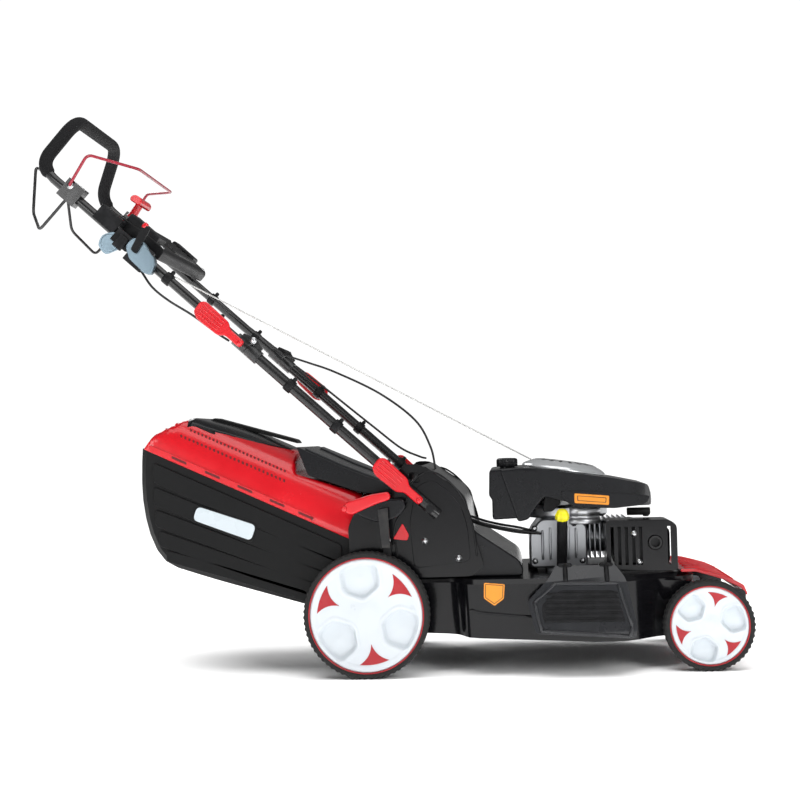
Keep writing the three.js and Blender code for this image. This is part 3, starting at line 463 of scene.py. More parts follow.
DARK_STEEL = Finish("heat_blackened_steel", (0.02, 0.02, 0.021), Surface.CAST, "steel", 0.5, metallic=0.4,
                    relief=0.3,
                    grain=500, shade=0.25, smear=0.15, worn=(0.12, 0.11, 0.1), wear=0.5, dust=0.03)
# Dark red that stands for the shade inside the lid's vent holes and latch slots: painted shade.
VENT_HOLE_SHADE = Finish("vent_shadow", (0.13, 0.002, 0.004), Surface.MOULDED, "red_plastic", 0.6, relief=0.2,
                   grain=900)


# ------------------------------------------------------------------ mesh making
def as_piece(name: str, points: Sequence[Vector], faces: Sequence[Sequence[int]], finish: Finish,
             smooth: bool = True) -> bpy.types.Object:
    """Makes an object from points in the frame.

    Args:
        name: The piece's name.
        points: Places in the frame, in metres.
        faces: Corner numbers of each face.
        finish: The finish it is dressed in.
        smooth: Whether faces blend into each other.

    Returns:
        The object, linked to the scene.
    """
    mesh = bpy.data.meshes.new(name)
    mesh.from_pydata([tuple(p) for p in points], [], [tuple(f) for f in faces])
    edit = bmesh.new()
    edit.from_mesh(mesh)
    bmesh.ops.recalc_face_normals(edit, faces=edit.faces)
    for face in edit.faces:
        face.smooth = smooth
    edit.to_mesh(mesh)
    edit.free()
    made = bpy.data.objects.new(name, mesh)
    bpy.context.scene.collection.objects.link(made)
    mesh.materials.append(finish.material())
    return made


def rings_of(rings: Sequence[Sequence[Vector]], turn: bool = False, capped: bool = True
             ) -> tuple[list[Vector], list[list[int]]]:
    """Skins closed rings of equal length.

    Args:
        rings: The rings in order, each a closed loop of points.
        turn: Whether the last ring joins the first.
        capped: Whether flat faces close both ends.

    Returns:
        Points and faces.
    """
    size = len(rings[0])
    points = [p for ring in rings for p in ring]
    faces = []
    for i in range(len(rings) if turn else len(rings) - 1):
        a, b = i * size, (i + 1) % len(rings) * size
        faces += [[a + j, a + (j + 1) % size, b + (j + 1) % size, b + j] for j in range(size)]
    if capped and not turn:
        faces += [list(range(size))[::-1], [(len(rings) - 1) * size + j for j in range(size)]]
    return points, faces


def soften(piece: bpy.types.Object, width: float, segments: int = 2, angle: float = 38.0) -> bpy.types.Object:
    """Rounds the hard edges of a piece.

    Args:
        piece: The object.
        width: Width of the rounding in millimetres.
        segments: Steps across the rounding.
        angle: Least angle in degrees of an edge that is rounded.

    Returns:
        The same object.
    """
    weld = piece.modifiers.new("weld", "WELD")
    weld.merge_threshold = 2e-6
    bevel = piece.modifiers.new("rounding", "BEVEL")
    bevel.width = width * MM
    bevel.segments = segments
    bevel.limit_method = "ANGLE"
    bevel.angle_limit = math.radians(angle)
    normals = piece.modifiers.new("shading", "WEIGHTED_NORMAL")
    normals.weight = 80
    for face in piece.data.polygons:
        face.use_smooth = True
    return piece


def plate(name: str, outline: Sequence[Flat], y0: float, y1: float, finish: Finish, rounding: float = 1.0
          ) -> bpy.types.Object:
    """A plate drawn in X and Z, thick in Y.

    Args:
        name: The piece's name.
        outline: Corners as x, z.
        y0: One face.
        y1: The other face.
        finish: Its finish.
        rounding: Width of its rounded edges.

    Returns:
        The piece.
    """
    rings = [[DATUM.at(x, y, z) for x, z in outline] for y in (y0, y1)]
    return soften(as_piece(name, *rings_of(rings), finish), rounding)


def rounded(corners: Sequence[Flat], radius: float, steps: int = 5) -> list[Flat]:
    """A polygon with its corners rounded.

    Args:
        corners: The corners in order.
        radius: Reach of each rounding along its sides.
        steps: Points in each rounding.

    Returns:
        The rounded outline.
    """
    made = []
    for i, corner in enumerate(corners):
        here, before, after = Vector(corner), Vector(corners[i - 1]), Vector(corners[(i + 1) % len(corners)])
        reach = min(radius, (before - here).length * 0.45, (after - here).length * 0.45)
        start = here + (before - here).normalized() * reach
        end = here + (after - here).normalized() * reach
        made += [tuple(curve_point(start, here, end, k / steps)) for k in range(steps + 1)]
    return made


def curve_point(start: Vector, corner: Vector, end: Vector, t: float) -> Vector:
    """A point on the curve from start to end that leans towards the corner."""
    return start * (1 - t) ** 2 + corner * 2 * t * (1 - t) + end * t**2


def bent(corners: Sequence[Point], radius: float, steps: int) -> list[Vector]:
    """A bent rod's line: straight runs with rounded corners.

    Args:
        corners: The corners of its route.
        radius: Reach of each bend along its runs.
        steps: Points in each bend.

    Returns:
        Points along the rod.
    """
    route = [Vector(c) for c in corners]
    made = [route[0]]
    for before, corner, after in zip(route, route[1:], route[2:], strict=False):
        reach = min(radius, (before - corner).length * 0.45, (after - corner).length * 0.45)
        start = corner + (before - corner).normalized() * reach
        end = corner + (after - corner).normalized() * reach
        made += [curve_point(start, corner, end, k / steps) for k in range(steps + 1)]
    return [*made, route[-1]]


def flowing(corners: Sequence[Point], steps: int) -> list[Vector]:
    """A smooth line through a cable's route.

    Args:
        corners: The places it runs through.
        steps: Points between each two places.

    Returns:
        Points along the cable.
    """
    route = [Vector(c) for c in corners]
    route = [route[0] * 2 - route[1], *route, route[-1] * 2 - route[-2]]
    made = []
    for a, b, c, d in zip(route, route[1:], route[2:], route[3:], strict=False):
        for k in range(steps):
            t = k / steps
            bow, swing = a * 2 - b * 5 + c * 4 - d, b * 3 - a - c * 3 + d
            made.append((b * 2 + (c - a) * t + bow * t**2 + swing * t**3) / 2)
    return [*made, route[-2]]


def tube(name: str, line: Sequence[Vector], radius: float, finish: Finish, sides: int = 14,
         ends: Sequence[float] = (0.55, 0.9)) -> bpy.types.Object:
    """A round bar along a line, with rounded ends.

    Args:
        name: The piece's name.
        line: Points in the frame.
        radius: Its radius in millimetres.
        finish: Its finish.
        sides: Faces round it.
        ends: Shares of the radius at the steps of its rounded ends.

    Returns:
        The piece.
    """
    rings = []
    forward = (line[1] - line[0]).normalized()
    across = forward.orthogonal().normalized()
    for i, centre in enumerate(line):
        ahead = (line[min(i + 1, len(line) - 1)] - line[max(i - 1, 0)]).normalized()
        across = (forward.rotation_difference(ahead) @ across).normalized()
        forward = ahead
        up = forward.cross(across)
        spokes = [across * math.cos(a) + up * math.sin(a) for a in turns(sides)]
        rings.append([(centre, s) for s in spokes])
    r = radius * MM
    solid = [[c + s * r for c, s in ring] for ring in rings]
    caps = []
    for ring, step in ((rings[0], line[0] - line[1]), (rings[-1], line[-1] - line[-2])):
        out = step.normalized()
        caps.append([[c + s * r * e + out * r * (0.35 if e < 0.8 else 0.0) for c, s in ring] for e in ends])
    return as_piece(name, *rings_of([*caps[0], *solid[1:-1], *reversed(caps[1])]), finish)


def turned(name: str, profile: Sequence[Flat], base: Vector, axis: Vector, finish: Finish, sides: int = 48,
           shape: Callable[[float, float], float] | None = None) -> bpy.types.Object:
    """A body turned about an axis, closed at both ends.

    Args:
        name: The piece's name.
        profile: Radius and height of each step, in millimetres.
        base: Where height is zero, in the frame.
        axis: The axis it is turned about.
        finish: Its finish.
        sides: Steps round it.
        shape: Radius from the profile's radius and the angle, where it isn't round.

    Returns:
        The piece.
    """
    up = axis.normalized()
    across = up.orthogonal().normalized()
    forward = up.cross(across)
    rings = []
    for r, h in profile:
        ring = []
        for a in turns(sides):
            radius = shape(r, a) if shape else r
            ring.append(base + (across * math.cos(a) + forward * math.sin(a)) * radius * MM + up * h * MM)
        rings.append(ring)
    return as_piece(name, *rings_of(rings), finish)


def joined(name: str, pieces: Iterable[bpy.types.Object]) -> bpy.types.Object:
    """Several like pieces as one object.

    Args:
        name: The new name.
        pieces: The objects, which are used up.

    Returns:
        The one object.
    """
    every = list(pieces)
    edit = bmesh.new()
    for piece in every:
        edit.from_mesh(piece.data)
    made = every[0]
    edit.to_mesh(made.data)
    edit.free()
    for piece in every[1:]:
        bpy.data.objects.remove(piece)
    made.name = name
    return made


def dress(finish: Finish, *nodes: str, rounding: float = 0.0, angle: float = 42.0) -> None:
    """Gives frame nodes their finish and rounds their edges.

    Args:
        finish: The finish.
        nodes: Names of nodes.
        rounding: Width of the rounding in millimetres, or none.
        angle: Least angle in degrees of an edge that is rounded.
    """
    for name in nodes:
        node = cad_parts[name]
        node.data.materials.clear()
        node.data.materials.append(finish.material())
        if rounding > 0:
            soften(node, rounding, angle=angle)
        LOG.info("dressed %s in %s", name, finish.name)


def settle(body: str, pieces: Iterable[bpy.types.Object]) -> None:
    """Puts finished pieces on the body that they move with.

    Args:
        body: Name of the body.
        pieces: The pieces.
    """
    for piece in pieces:
        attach(piece, body)
        LOG.info("built %s", piece.name)


def squared_off(value: float, power: float) -> float:
    """A sine or cosine pushed outwards, so that a round outline turns boxy."""
    return math.copysign(abs(value) ** power, value)


def turns(count: int) -> list[float]:
    """Evenly spaced angles once round."""
    return [math.tau * k / count for k in range(count)]


def smoothstep(low: float, high: float, value: float) -> float:
    """0 below low, 1 above high and an easy rise between."""
    t = min(1.0, max(0.0, (value - low) / (high - low)))
    return t * t * (3 - 2 * t)


# ------------------------------------------------------------------ wheels
@dataclass
class Wheel:
    """A tyre with block tread on a dished wheel with three pockets and three inserts."""

    name: str
    side: Side
    turn: float
    blocks: int
    sidewall: float = 14.5
    groove: float = 1.9
    shoulder: float = 3.0
    face_depth: float = 3.4
    hub_rise: float = 2.0
    rim_rise: float = 1.0
    rim_roll: float = 3.0
    pockets: int = 3
    pocket_depth: float = 14.0
    pocket_crown: float = 4.0
    pocket_place: float = 0.665
    pocket_size: float = 0.35
    pocket_facets: int = 6
    facet_depth: float = 0.035
    ridge: float = 1.2
    centre: Vector = field(init=False)
    radius: float = field(init=False)
    width: float = field(init=False)

    def __post_init__(self) -> None:
        """Takes the wheel's place and size from its tyre in the frame."""
        low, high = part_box(f"{self.name}_tyre")
        self.centre = (low + high) / 2
        self.radius = (high.z - low.z) / 2 / MM
        self.width = (high.y - low.y) / MM

    @property
    def rim(self) -> float:
        """Radius of the white wheel."""
        return self.radius - self.sidewall

    def place(self, r: float, angle: float, depth: float) -> Vector:
        """A place on the wheel.

        Args:
            r: Distance from the axle.
            angle: Direction about the axle, from forwards and upwards.
            depth: Distance inwards from the tyre's outer face.

        Returns:
            The place in the frame.
        """
        y = self.side.value * (self.width / 2 - depth)
        return self.centre + Vector((r * math.cos(angle), y, r * math.sin(angle))) * MM

    def build(self) -> None:
        """Makes the wheel's pieces and puts them on its body."""
        body = f"wheel_{self.name}"
        tyre, face = self._tyre(), self._face()
        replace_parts(tyre, f"{self.name}_tyre")
        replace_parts(face, f"{self.name}_rim")
        settle(body, (tyre, face, self._bead(), self._inserts()))

    def _tyre(self) -> bpy.types.Object:
        """The tyre, with shoulder blocks either side of a middle rib.

        Returns:
            The tyre.
        """
        big, wide, rim = self.radius, self.width, self.rim
        half = wide / 2 - self.shoulder
        flank = [(rim + 0.6, 9.0), (rim + 0.6, 2.6), (rim + 2, 1.2), (big - 9, 0.0), (big - 4, 0.5)]
        bands = [(0.0, Tread.OUTER), (0.62, Tread.OUTER), (0.66, Tread.GROOVE), (0.8, Tread.GROOVE),
                 (0.84, Tread.RIB)]
        tread = [(self.shoulder + half * share, band) for share, band in bands]
        inner = {Tread.OUTER: Tread.INNER}
        tread += [(wide - depth, inner.get(band, band)) for depth, band in reversed(tread)]
        rings = []
        for i, angle in enumerate(turns(self.blocks * 4)):
            line = list(flank)
            for depth, band in tread:
                phase = (i + (2 if band is Tread.INNER else 0)) % 4
                low = band is Tread.GROOVE or (band is not Tread.RIB and phase >= 2)
                line.append((big - (self.groove if low else 0), depth))
            line += [(r, wide - depth) for r, depth in reversed(flank)]
            rings.append([self.place(r, angle, d) for r, d in line])
        return as_piece(f"{self.name}_tread_tyre", *rings_of(rings, turn=True), TYRE_RUBBER, smooth=False)

    def _depth(self, r: float, angle: float) -> float:
        """How far the wheel's face lies inside the tyre's outer face.

        Args:
            r: Distance from the axle in millimetres.
            angle: Direction about the axle.

        Returns:
            The depth in millimetres.
        """
        rim = self.rim
        share = r / rim
        depth = self.face_depth - self.hub_rise * (1 - smoothstep(0.1, 0.34, share))
        depth += self.rim_roll * smoothstep(0.975, 1.0, share) - self.rim_rise * smoothstep(0.87, 0.9, share)
        clear = 1 - smoothstep(0.89, 0.93, share)
        for k in range(self.pockets):
            middle = self.turn + math.tau * k / self.pockets
            x = r * math.cos(angle) - self.pocket_place * rim * math.cos(middle)
            z = r * math.sin(angle) - self.pocket_place * rim * math.sin(middle)
            facet = 1 + self.facet_depth * math.cos(self.pocket_facets * (math.atan2(z, x) - middle))
            reach = math.hypot(x, z) / (self.pocket_size * rim * facet)
            inside = (1 - smoothstep(0.86, 0.98, reach)) * clear
            lip = smoothstep(0.98, 1.02, reach) * (1 - smoothstep(1.1, 1.16, reach)) * clear
            depth += inside * (self.pocket_depth - self.pocket_crown * max(0.0, 1 - reach)) - self.ridge * lip
        return depth

    def _face(self) -> bpy.types.Object:
        """The white wheel: a pressed face in front and a plain dish with a hub behind.

        Returns:
            The wheel.
        """
        around, steps = turns(168), 56
        rim, wide = self.rim, self.width
        back = [(rim, wide - 3.5), (rim - 5, wide - 3.5), (rim - 7, wide - 18), (24, wide - 18),
                (22, wide - 8), (7, wide - 8), (1, wide - 8)]
        rings = [[self.place(0.6, a, self._depth(0, 0)) for a in around]]
        rings += [[self.place(r, a, self._depth(r, a)) for a in around]
                  for r in (rim * (k + 1) / steps for k in range(steps))]
        rings += [[self.place(r, a, depth) for a in around] for r, depth in back]
        return as_piece(f"{self.name}_pressed_wheel", *rings_of(rings), WHEEL_WHITE)

    def _bead(self) -> bpy.types.Object:
        """The red bead between tyre and wheel.

        Returns:
            The bead.
        """
        rim = self.rim
        line = [(rim - 0.4, 4.5), (rim - 0.4, 1.2), (rim + 0.6, 0.2), (rim + 1.9, 0.2), (rim + 2.6, 1.0),
                (rim + 2.4, 4.5)]
        rings = [[self.place(r, a, d) for r, d in line] for a in turns(120)]
        return as_piece(f"{self.name}_red_bead", *rings_of(rings, turn=True), DEEP_RED)

    def _inserts(self) -> bpy.types.Object:
        """The three red three-pointed inserts between the pockets.

        Returns:
            The inserts as one piece.
        """
        rim, middle = self.rim, Vector((0.75, 0))
        tips = [(0.87, -0.31), (0.87, 0.31), (0.5, 0.0)]
        leans = [(0.9, 0.0), (0.735, 0.055), (0.735, -0.055)]
        outline: list[Vector] = []
        for corners in zip(tips, leans, [*tips[1:], tips[0]], strict=True):
            start, bow, end = (Vector((r * math.cos(a), r * math.sin(a))) for r, a in corners)
            outline += [curve_point(start, bow, end, t / 9) for t in range(9)]
        made = []
        for k in range(self.pockets):
            towards = self.turn + math.pi / self.pockets + math.tau * k / self.pockets
            rings = []
            for inset, depth in ((1.0, 9.5), (1.0, 2.9), (0.97, 2.0)):
                ring = []
                for p in outline:
                    x, z = (middle + (p - middle) * inset) * rim
                    ring.append(self.place(math.hypot(x, z), towards + math.atan2(z, x), depth))
                rings.append(ring)
            made.append(as_piece("insert", *rings_of(rings), DEEP_RED, smooth=False))
        return joined(f"{self.name}_red_inserts", made)


# ------------------------------------------------------------------ small shared pieces
@dataclass(frozen=True)
class Bolt:
    """A domed bolt on a washer that faces sideways."""

    radius: float = 6.0

    def build(self, x: float, y: float, z: float, side: Side) -> bpy.types.Object:
        """Makes the bolt head.

        Args:
            x: Forwards place on the drawing.
            y: Where the washer rests.
            z: Height.
            side: The way that it faces.

        Returns:
            The piece, which still has to ride.
        """
        r = self.radius
        profile = [(0.3, -0.4), (r + 2, -0.4), (r + 2, 1.0), (r, 1.2), (r, 2.6), (r * 0.8, 4.0),
                   (r * 0.4, 4.8), (0.3, 5.0)]
        return turned("bolt", profile, DATUM.at(x, y, z), Vector((0, side.value, 0)), BOLT_ZINC, 18)


def bolts(name: str, body: str, places: Sequence[Point], side: Side, radius: float = 5.0) -> None:
    """A set of bolts on one body.

    Args:
        name: The set's name.
        body: The body it rides on.
        places: Place of each bolt on the drawing.
        side: The way that the bolts face.
        radius: Radius of each head.
    """
    settle(body, [joined(name, [Bolt(radius).build(*p, side) for p in places])])


# ------------------------------------------------------------------ grass catcher
@dataclass
class Catcher:
    """The catcher's ribs, arched lid, vents, blank badge and carrying handle."""

    half: float = 200.0
    edge: float = 514.0
    edge_from: float = -502.0
    fall: float = 0.4573
    wall: float = 3.0
    lid_half: float = 202.5
    rise: float = 150.0

    def build(self) -> None:
        """Makes and dresses the catcher."""
        dress(TUB_BLACK, "catcher_tub", rounding=3.0)
        dress(TUB_BLACK, "catcher_handle", rounding=3.0)
        lid = self._lid()
        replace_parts(lid, "catcher_lid")
        settle("catcher", [
            lid, *[self._ribs(side) for side in Side], self._rear_ribs(), self._lip(), self._vents(),
            self._slots(),
            *[make(side) for side in Side for make in (self._badge, self._badge_face)],
            self._recess(), self._top_panel(), self._notch(), *self._steps(),
        ])

    def edge_z(self, x: float) -> float:
        """Height of the joint between tub and lid."""
        return self.edge - self.fall * (x - self.edge_from)

    def crown_z(self, x: float) -> float:
        """Height of the lid's middle line.

        Args:
            x: Forwards place.

        Returns:
            The height in millimetres.
        """
        marks = [(-512, 440), (-509, 520), (-489, 548), (-427, 582), (-404, 587), (-178, 521), (-168, 453.6),
                 (25, 391.2)]
        for (xa, za), (xb, zb) in zip(marks, marks[1:], strict=False):
            if x <= xb:
                return za + (zb - za) * max(0.0, (x - xa) / (xb - xa))
        return marks[-1][1]

    def lid_point(self, x: float, t: float, inset: float = 0.0) -> Vector:
        """A place on the lid's outer skin.

        Args:
            x: Forwards place.
            t: Way round the arch, from 0 at the left edge to 1 at the right.
            inset: Distance inside the skin.

        Returns:
            The place on the drawing.
        """
        turn = math.pi * t
        spread = squared_off(math.cos(turn), 0.55)
        lift = math.sin(turn) ** 0.8 * (self.rise - inset)
        base = self.edge_z(x) + 0.6
        crown = self.crown_z(x) - inset
        arch = base + lift * math.cos(math.atan(self.fall))
        ease = 9.0
        blend = max(0.0, 1 - abs(arch - crown) / ease)
        z = min(arch, crown) - blend**2 * ease / 4
        return Vector((x, spread * (self.lid_half - inset), max(z, base)))

    def _lid(self) -> bpy.types.Object:
        """The arched red lid as a skin with thickness.

        Returns:
            The lid.
        """
        marks = [-511, -510, -508, -504, -499, -493, -486, -476, -464, -450, -436, -427, -418, -410, -404,
                 -396]
        marks += [-396 + 218 * k / 12 for k in range(1, 12)]
        marks += [-182, -178, -175, -172, -169, -166, -160]
        marks += [-160 + 145 * k / 8 for k in range(1, 9)]
        count = 48
        outer = [[self.lid_point(x, j / count) for j in range(count + 1)] for x in marks]
        inner = [[self.lid_point(x, j / count, self.wall) for j in range(count + 1)] for x in marks]
        points = [DATUM.at(*p) for row in outer + inner for p in row]
        size, rows = count + 1, len(marks)
        shift = rows * size
        faces = []
        for i in range(rows - 1):
            for j in range(count):
                a, b = i * size + j, (i + 1) * size + j
                faces += [[a, a + 1, b + 1, b], [a + shift, b + shift, b + 1 + shift, a + 1 + shift]]
            for j in (0, count):
                a, b = i * size + j, (i + 1) * size + j
                faces.append([a, b, b + shift, a + shift])
        for i in (0, rows - 1):
            for j in range(count):
                a = i * size + j
                faces.append([a, a + 1, a + 1 + shift, a + shift])
        return as_piece("lid_shell", points, faces, GLOSS_RED)

    def _band(self, top: Sequence[Flat], drop: float, side: Side, proud: float) -> bpy.types.Object:
        """A raised band on the side of the tub.

        Args:
            top: Upper edge as x, z.
            drop: Height of the band.
            side: Side of the tub.
            proud: How far it stands out.

        Returns:
            The piece.
        """
        outline = [*top, *[(x, z - drop) for x, z in reversed(top)]]
        return plate("band", rounded(outline, 9, 3), *side.span(self.half - 1.5, self.half + proud),
                     TUB_BLACK, 4.0)

    def _ribs(self, side: Side) -> bpy.types.Object:
        """The raised bands of one side.

        Args:
            side: Side of the tub.

        Returns:
            The bands as one piece.
        """
        tops = [
            [(-489, 488), (-260, 383), (-60, 291)],
            [(-489, 433), (-260, 336), (-60, 254)],
            [(-486, 381), (-260, 293), (-60, 219)],
            [(-478, 333), (-260, 254), (-60, 189)],
            [(-462, 288), (-330, 250), (-140, 190)],
        ]
        drops = [46, 43, 39, 36, 27]
        made = [self._band(t, d, side, 5.0) for t, d in zip(tops, drops, strict=True)]
        for piece in made:
            apply_modifiers(piece)
        return joined(f"tub_bands_{side.name.lower()}", made)

    def _rear_ribs(self) -> bpy.types.Object:
        """The raised bands across the tub's rear face.

        Returns:
            The bands as one piece.
        """
        made = []
        lean = [(-519.0, 490.0), (-519.0, 403.0), (-504.0, 323.0), (-471.0, 256.0)]
        for z0, z1 in ((448, 488), (396, 436), (352, 384), (312, 341)):
            rings = []
            for z in (z0, z1):
                x = lean[-1][0]
                for (xa, za), (xb, zb) in zip(lean, lean[1:], strict=False):
                    if zb <= z <= za:
                        x = xa + (xb - xa) * (za - z) / (za - zb)
                rings += [[DATUM.at(x + dx, y, z) for dx, y in
                           ((8, -150), (-1.8, -146), (-2.4, -138), (-2.4, 138), (-1.8, 146), (8, 150))]]
            piece = soften(as_piece("rear_band", *rings_of(rings), TUB_BLACK), 2.0)
            apply_modifiers(piece)
            made.append(piece)
        return joined("tub_rear_bands", made)

    def _lip(self) -> bpy.types.Object:
        """The lid's flange along both sides and the rear, above the tub's edge.

        Returns:
            The flange.
        """
        made = []
        for side in Side:
            ends = [(x, self.edge_z(x)) for x in (-496.0, -128.0)]
            outline = [(x, z + 1.5) for x, z in ends] + [(x, z + 17) for x, z in reversed(ends)]
            piece = plate("lip", rounded(outline, 3, 3), *side.span(self.lid_half - 2, self.lid_half + 3),
                          GLOSS_RED, 1.2)
            apply_modifiers(piece)
            made.append(piece)
        return joined("lid_flange", made)

    def _on_skin(self, x: float, t: float, length: float, height: float, deep: float) -> list[list[Vector]]:
        """Rings of a small oblong dimple that lies on the lid's skin.

        Args:
            x: Forwards place of its middle.
            t: Way round the arch.
            length: Its length along the lid.
            height: Its height round the arch.
            deep: How far its face stands off the skin.

        Returns:
            The rings, from inside the skin outwards.
        """
        here = self.lid_point(x, t)
        along = (self.lid_point(x + 4, t) - self.lid_point(x - 4, t)).normalized()
        round_way = (self.lid_point(x, t + 0.01) - self.lid_point(x, t - 0.01)).normalized()
        out = along.cross(round_way).normalized()
        if out.z < 0:
            out = -out
        rings = []
        for lift, scale in ((-1.5, 1.0), (deep, 1.0), (deep + 0.2, 0.7)):
            ring = []
            for a in turns(12):
                u = squared_off(math.cos(a), 0.6) * length / 2 * scale
                v = squared_off(math.sin(a), 0.6) * height / 2 * scale
                p = here + along * u + round_way * v + out * lift
                ring.append(DATUM.at(*p))
            rings.append(ring)
        return rings

    def _vents(self) -> bpy.types.Object:
        """Two rows of air vents on each side of the lid, drawn as dark red dimples that stand off the skin:
        painted shade in the vent holes.

        Returns:
            The painted vent shades as one piece.
        """
        made = []
        count, x_to = 26, -190
        for t, x_from in ((0.8, -405), (0.865, -425)):
            for k in range(count):
                x = x_from + (x_to - x_from) * k / (count - 1)
                for way in (t, 1 - t):
                    made.append(as_piece("vent", *rings_of(self._on_skin(x, way, 5.0, 7.0, 0.25)), VENT_HOLE_SHADE))
        return joined("lid_vent_shades", made)

    def _slots(self) -> bpy.types.Object:
        """The latch slots in the flange, drawn as dark plates on its face: painted shade in the slots.

        Returns:
            The painted slot shades as one piece.
        """
        reach, high, face = 17, 3, self.lid_half + 3
        made = []
        for x in (-428.0, -352.0, -278.0, -205.0, -140.0):
            z, slant = self.edge_z(x) + 11, reach * self.fall
            outline = [(x - reach, z + slant - high), (x + reach, z - slant - high),
                       (x + reach, z - slant + high), (x - reach, z + slant + high)]
            for side in Side:
                rings = [[DATUM.at(px, y, pz) for px, pz in rounded(outline, 3, 3)]
                         for y in side.span(face - 1.2, face + 0.25)]
                made.append(as_piece("slot", *rings_of(rings), VENT_HOLE_SHADE, smooth=False))
        return joined("lid_slot_shades", made)

    def _badge(self, side: Side) -> bpy.types.Object:
        """The badge's raised border.

        Args:
            side: Side of the tub.

        Returns:
            The border.
        """
        outline = [(-392, 391), (-249, 343), (-262, 300), (-406, 352)]
        return plate(f"badge_border_{side.name.lower()}", rounded(outline, 12, 5),
                     *side.span(self.half, self.half + 6.2), TUB_BLACK, 1.4)

    def _badge_face(self, side: Side) -> bpy.types.Object:
        """The blank badge.

        Args:
            side: Side of the tub.

        Returns:
            The badge.
        """
        outline = [(-388, 386), (-254, 340), (-266, 305), (-399, 355)]
        return plate(f"badge_blank_{side.name.lower()}", rounded(outline, 12, 5),
                     *side.span(self.half + 2, self.half + 7.4), BADGE_WHITE, 1.2)

    def _recess(self) -> bpy.types.Object:
        """The dark finger recess beside the carrying handle.

        Returns:
            The recesses as one piece.
        """
        made = []
        for side in Side:
            y = side.value * 62
            rings = []
            for lift, scale in ((-3.0, 1.0), (0.9, 1.0), (1.5, 0.9)):
                ring = []
                for a in turns(24):
                    x = -345 + squared_off(math.cos(a), 0.4) * 42 * scale
                    across = squared_off(math.sin(a), 0.5) * 20 * scale
                    ring.append(DATUM.at(x, y + across, self.crown_z(x) + lift))
                rings.append(ring)
            made.append(as_piece("recess", *rings_of(rings), TUB_BLACK))
        return joined("lid_recess", made)

    def _top_panel(self) -> bpy.types.Object:
        """The black panel along the top of the lid.

        Returns:
            The panel.
        """
        deep = 17.0
        rings = []
        for x in (-414 + 222 * k / 20 for k in range(21)):
            middle = self.crown_z(x)
            reach = next(k for k in range(100) if self.lid_point(x, 0.5 + k / 200).z < middle - deep) / 200
            arch = [0.5 - reach + 2 * reach * j / 24 for j in range(25)]
            skin = [self.lid_point(x, t) + Vector((0, 0, 1.6)) for t in arch]
            under = [p - Vector((0, 0, 3.2)) for p in reversed(skin)]
            rings.append([DATUM.at(*p) for p in [*skin, *under]])
        return as_piece("lid_top_panel", *rings_of(rings), COWL_BLACK)

    def _notch(self) -> bpy.types.Object:
        """The finger notches beside the top panel, drawn as dark oblongs on the red skin under the panel's
        edge: painted shade in the notches.

        Returns:
            The painted notch shades as one piece.
        """
        skins = [self._on_skin(-376, way, 54, 11, 0.6) for way in (0.745, 0.255)]
        return joined("lid_notch_shades", [as_piece("notch", *rings_of(rings), MOULDED_BLACK) for rings in skins])

    def _steps(self) -> list[bpy.types.Object]:
        """The raised steps across the lid's rear corner.

        Returns:
            The steps.
        """
        made = []
        for i, x in enumerate((-484.0, -462.0, -440.0)):
            line = [DATUM.at(*(self.lid_point(x, t / 40) + Vector((0, 0, 0.8)))) for t in range(7, 34)]
            made.append(tube(f"lid_step_{i + 1}", line, 1.9, GLOSS_RED, 10))
        return made


def apply_modifiers(piece: bpy.types.Object) -> None:
    """Turns a piece's modifiers into plain mesh.

    Args:
        piece: The object.
    """
    bpy.context.view_layer.update()
    shaped = piece.evaluated_get(bpy.context.evaluated_depsgraph_get())
    mesh = bpy.data.meshes.new_from_object(shaped)
    piece.modifiers.clear()
    piece.data = mesh


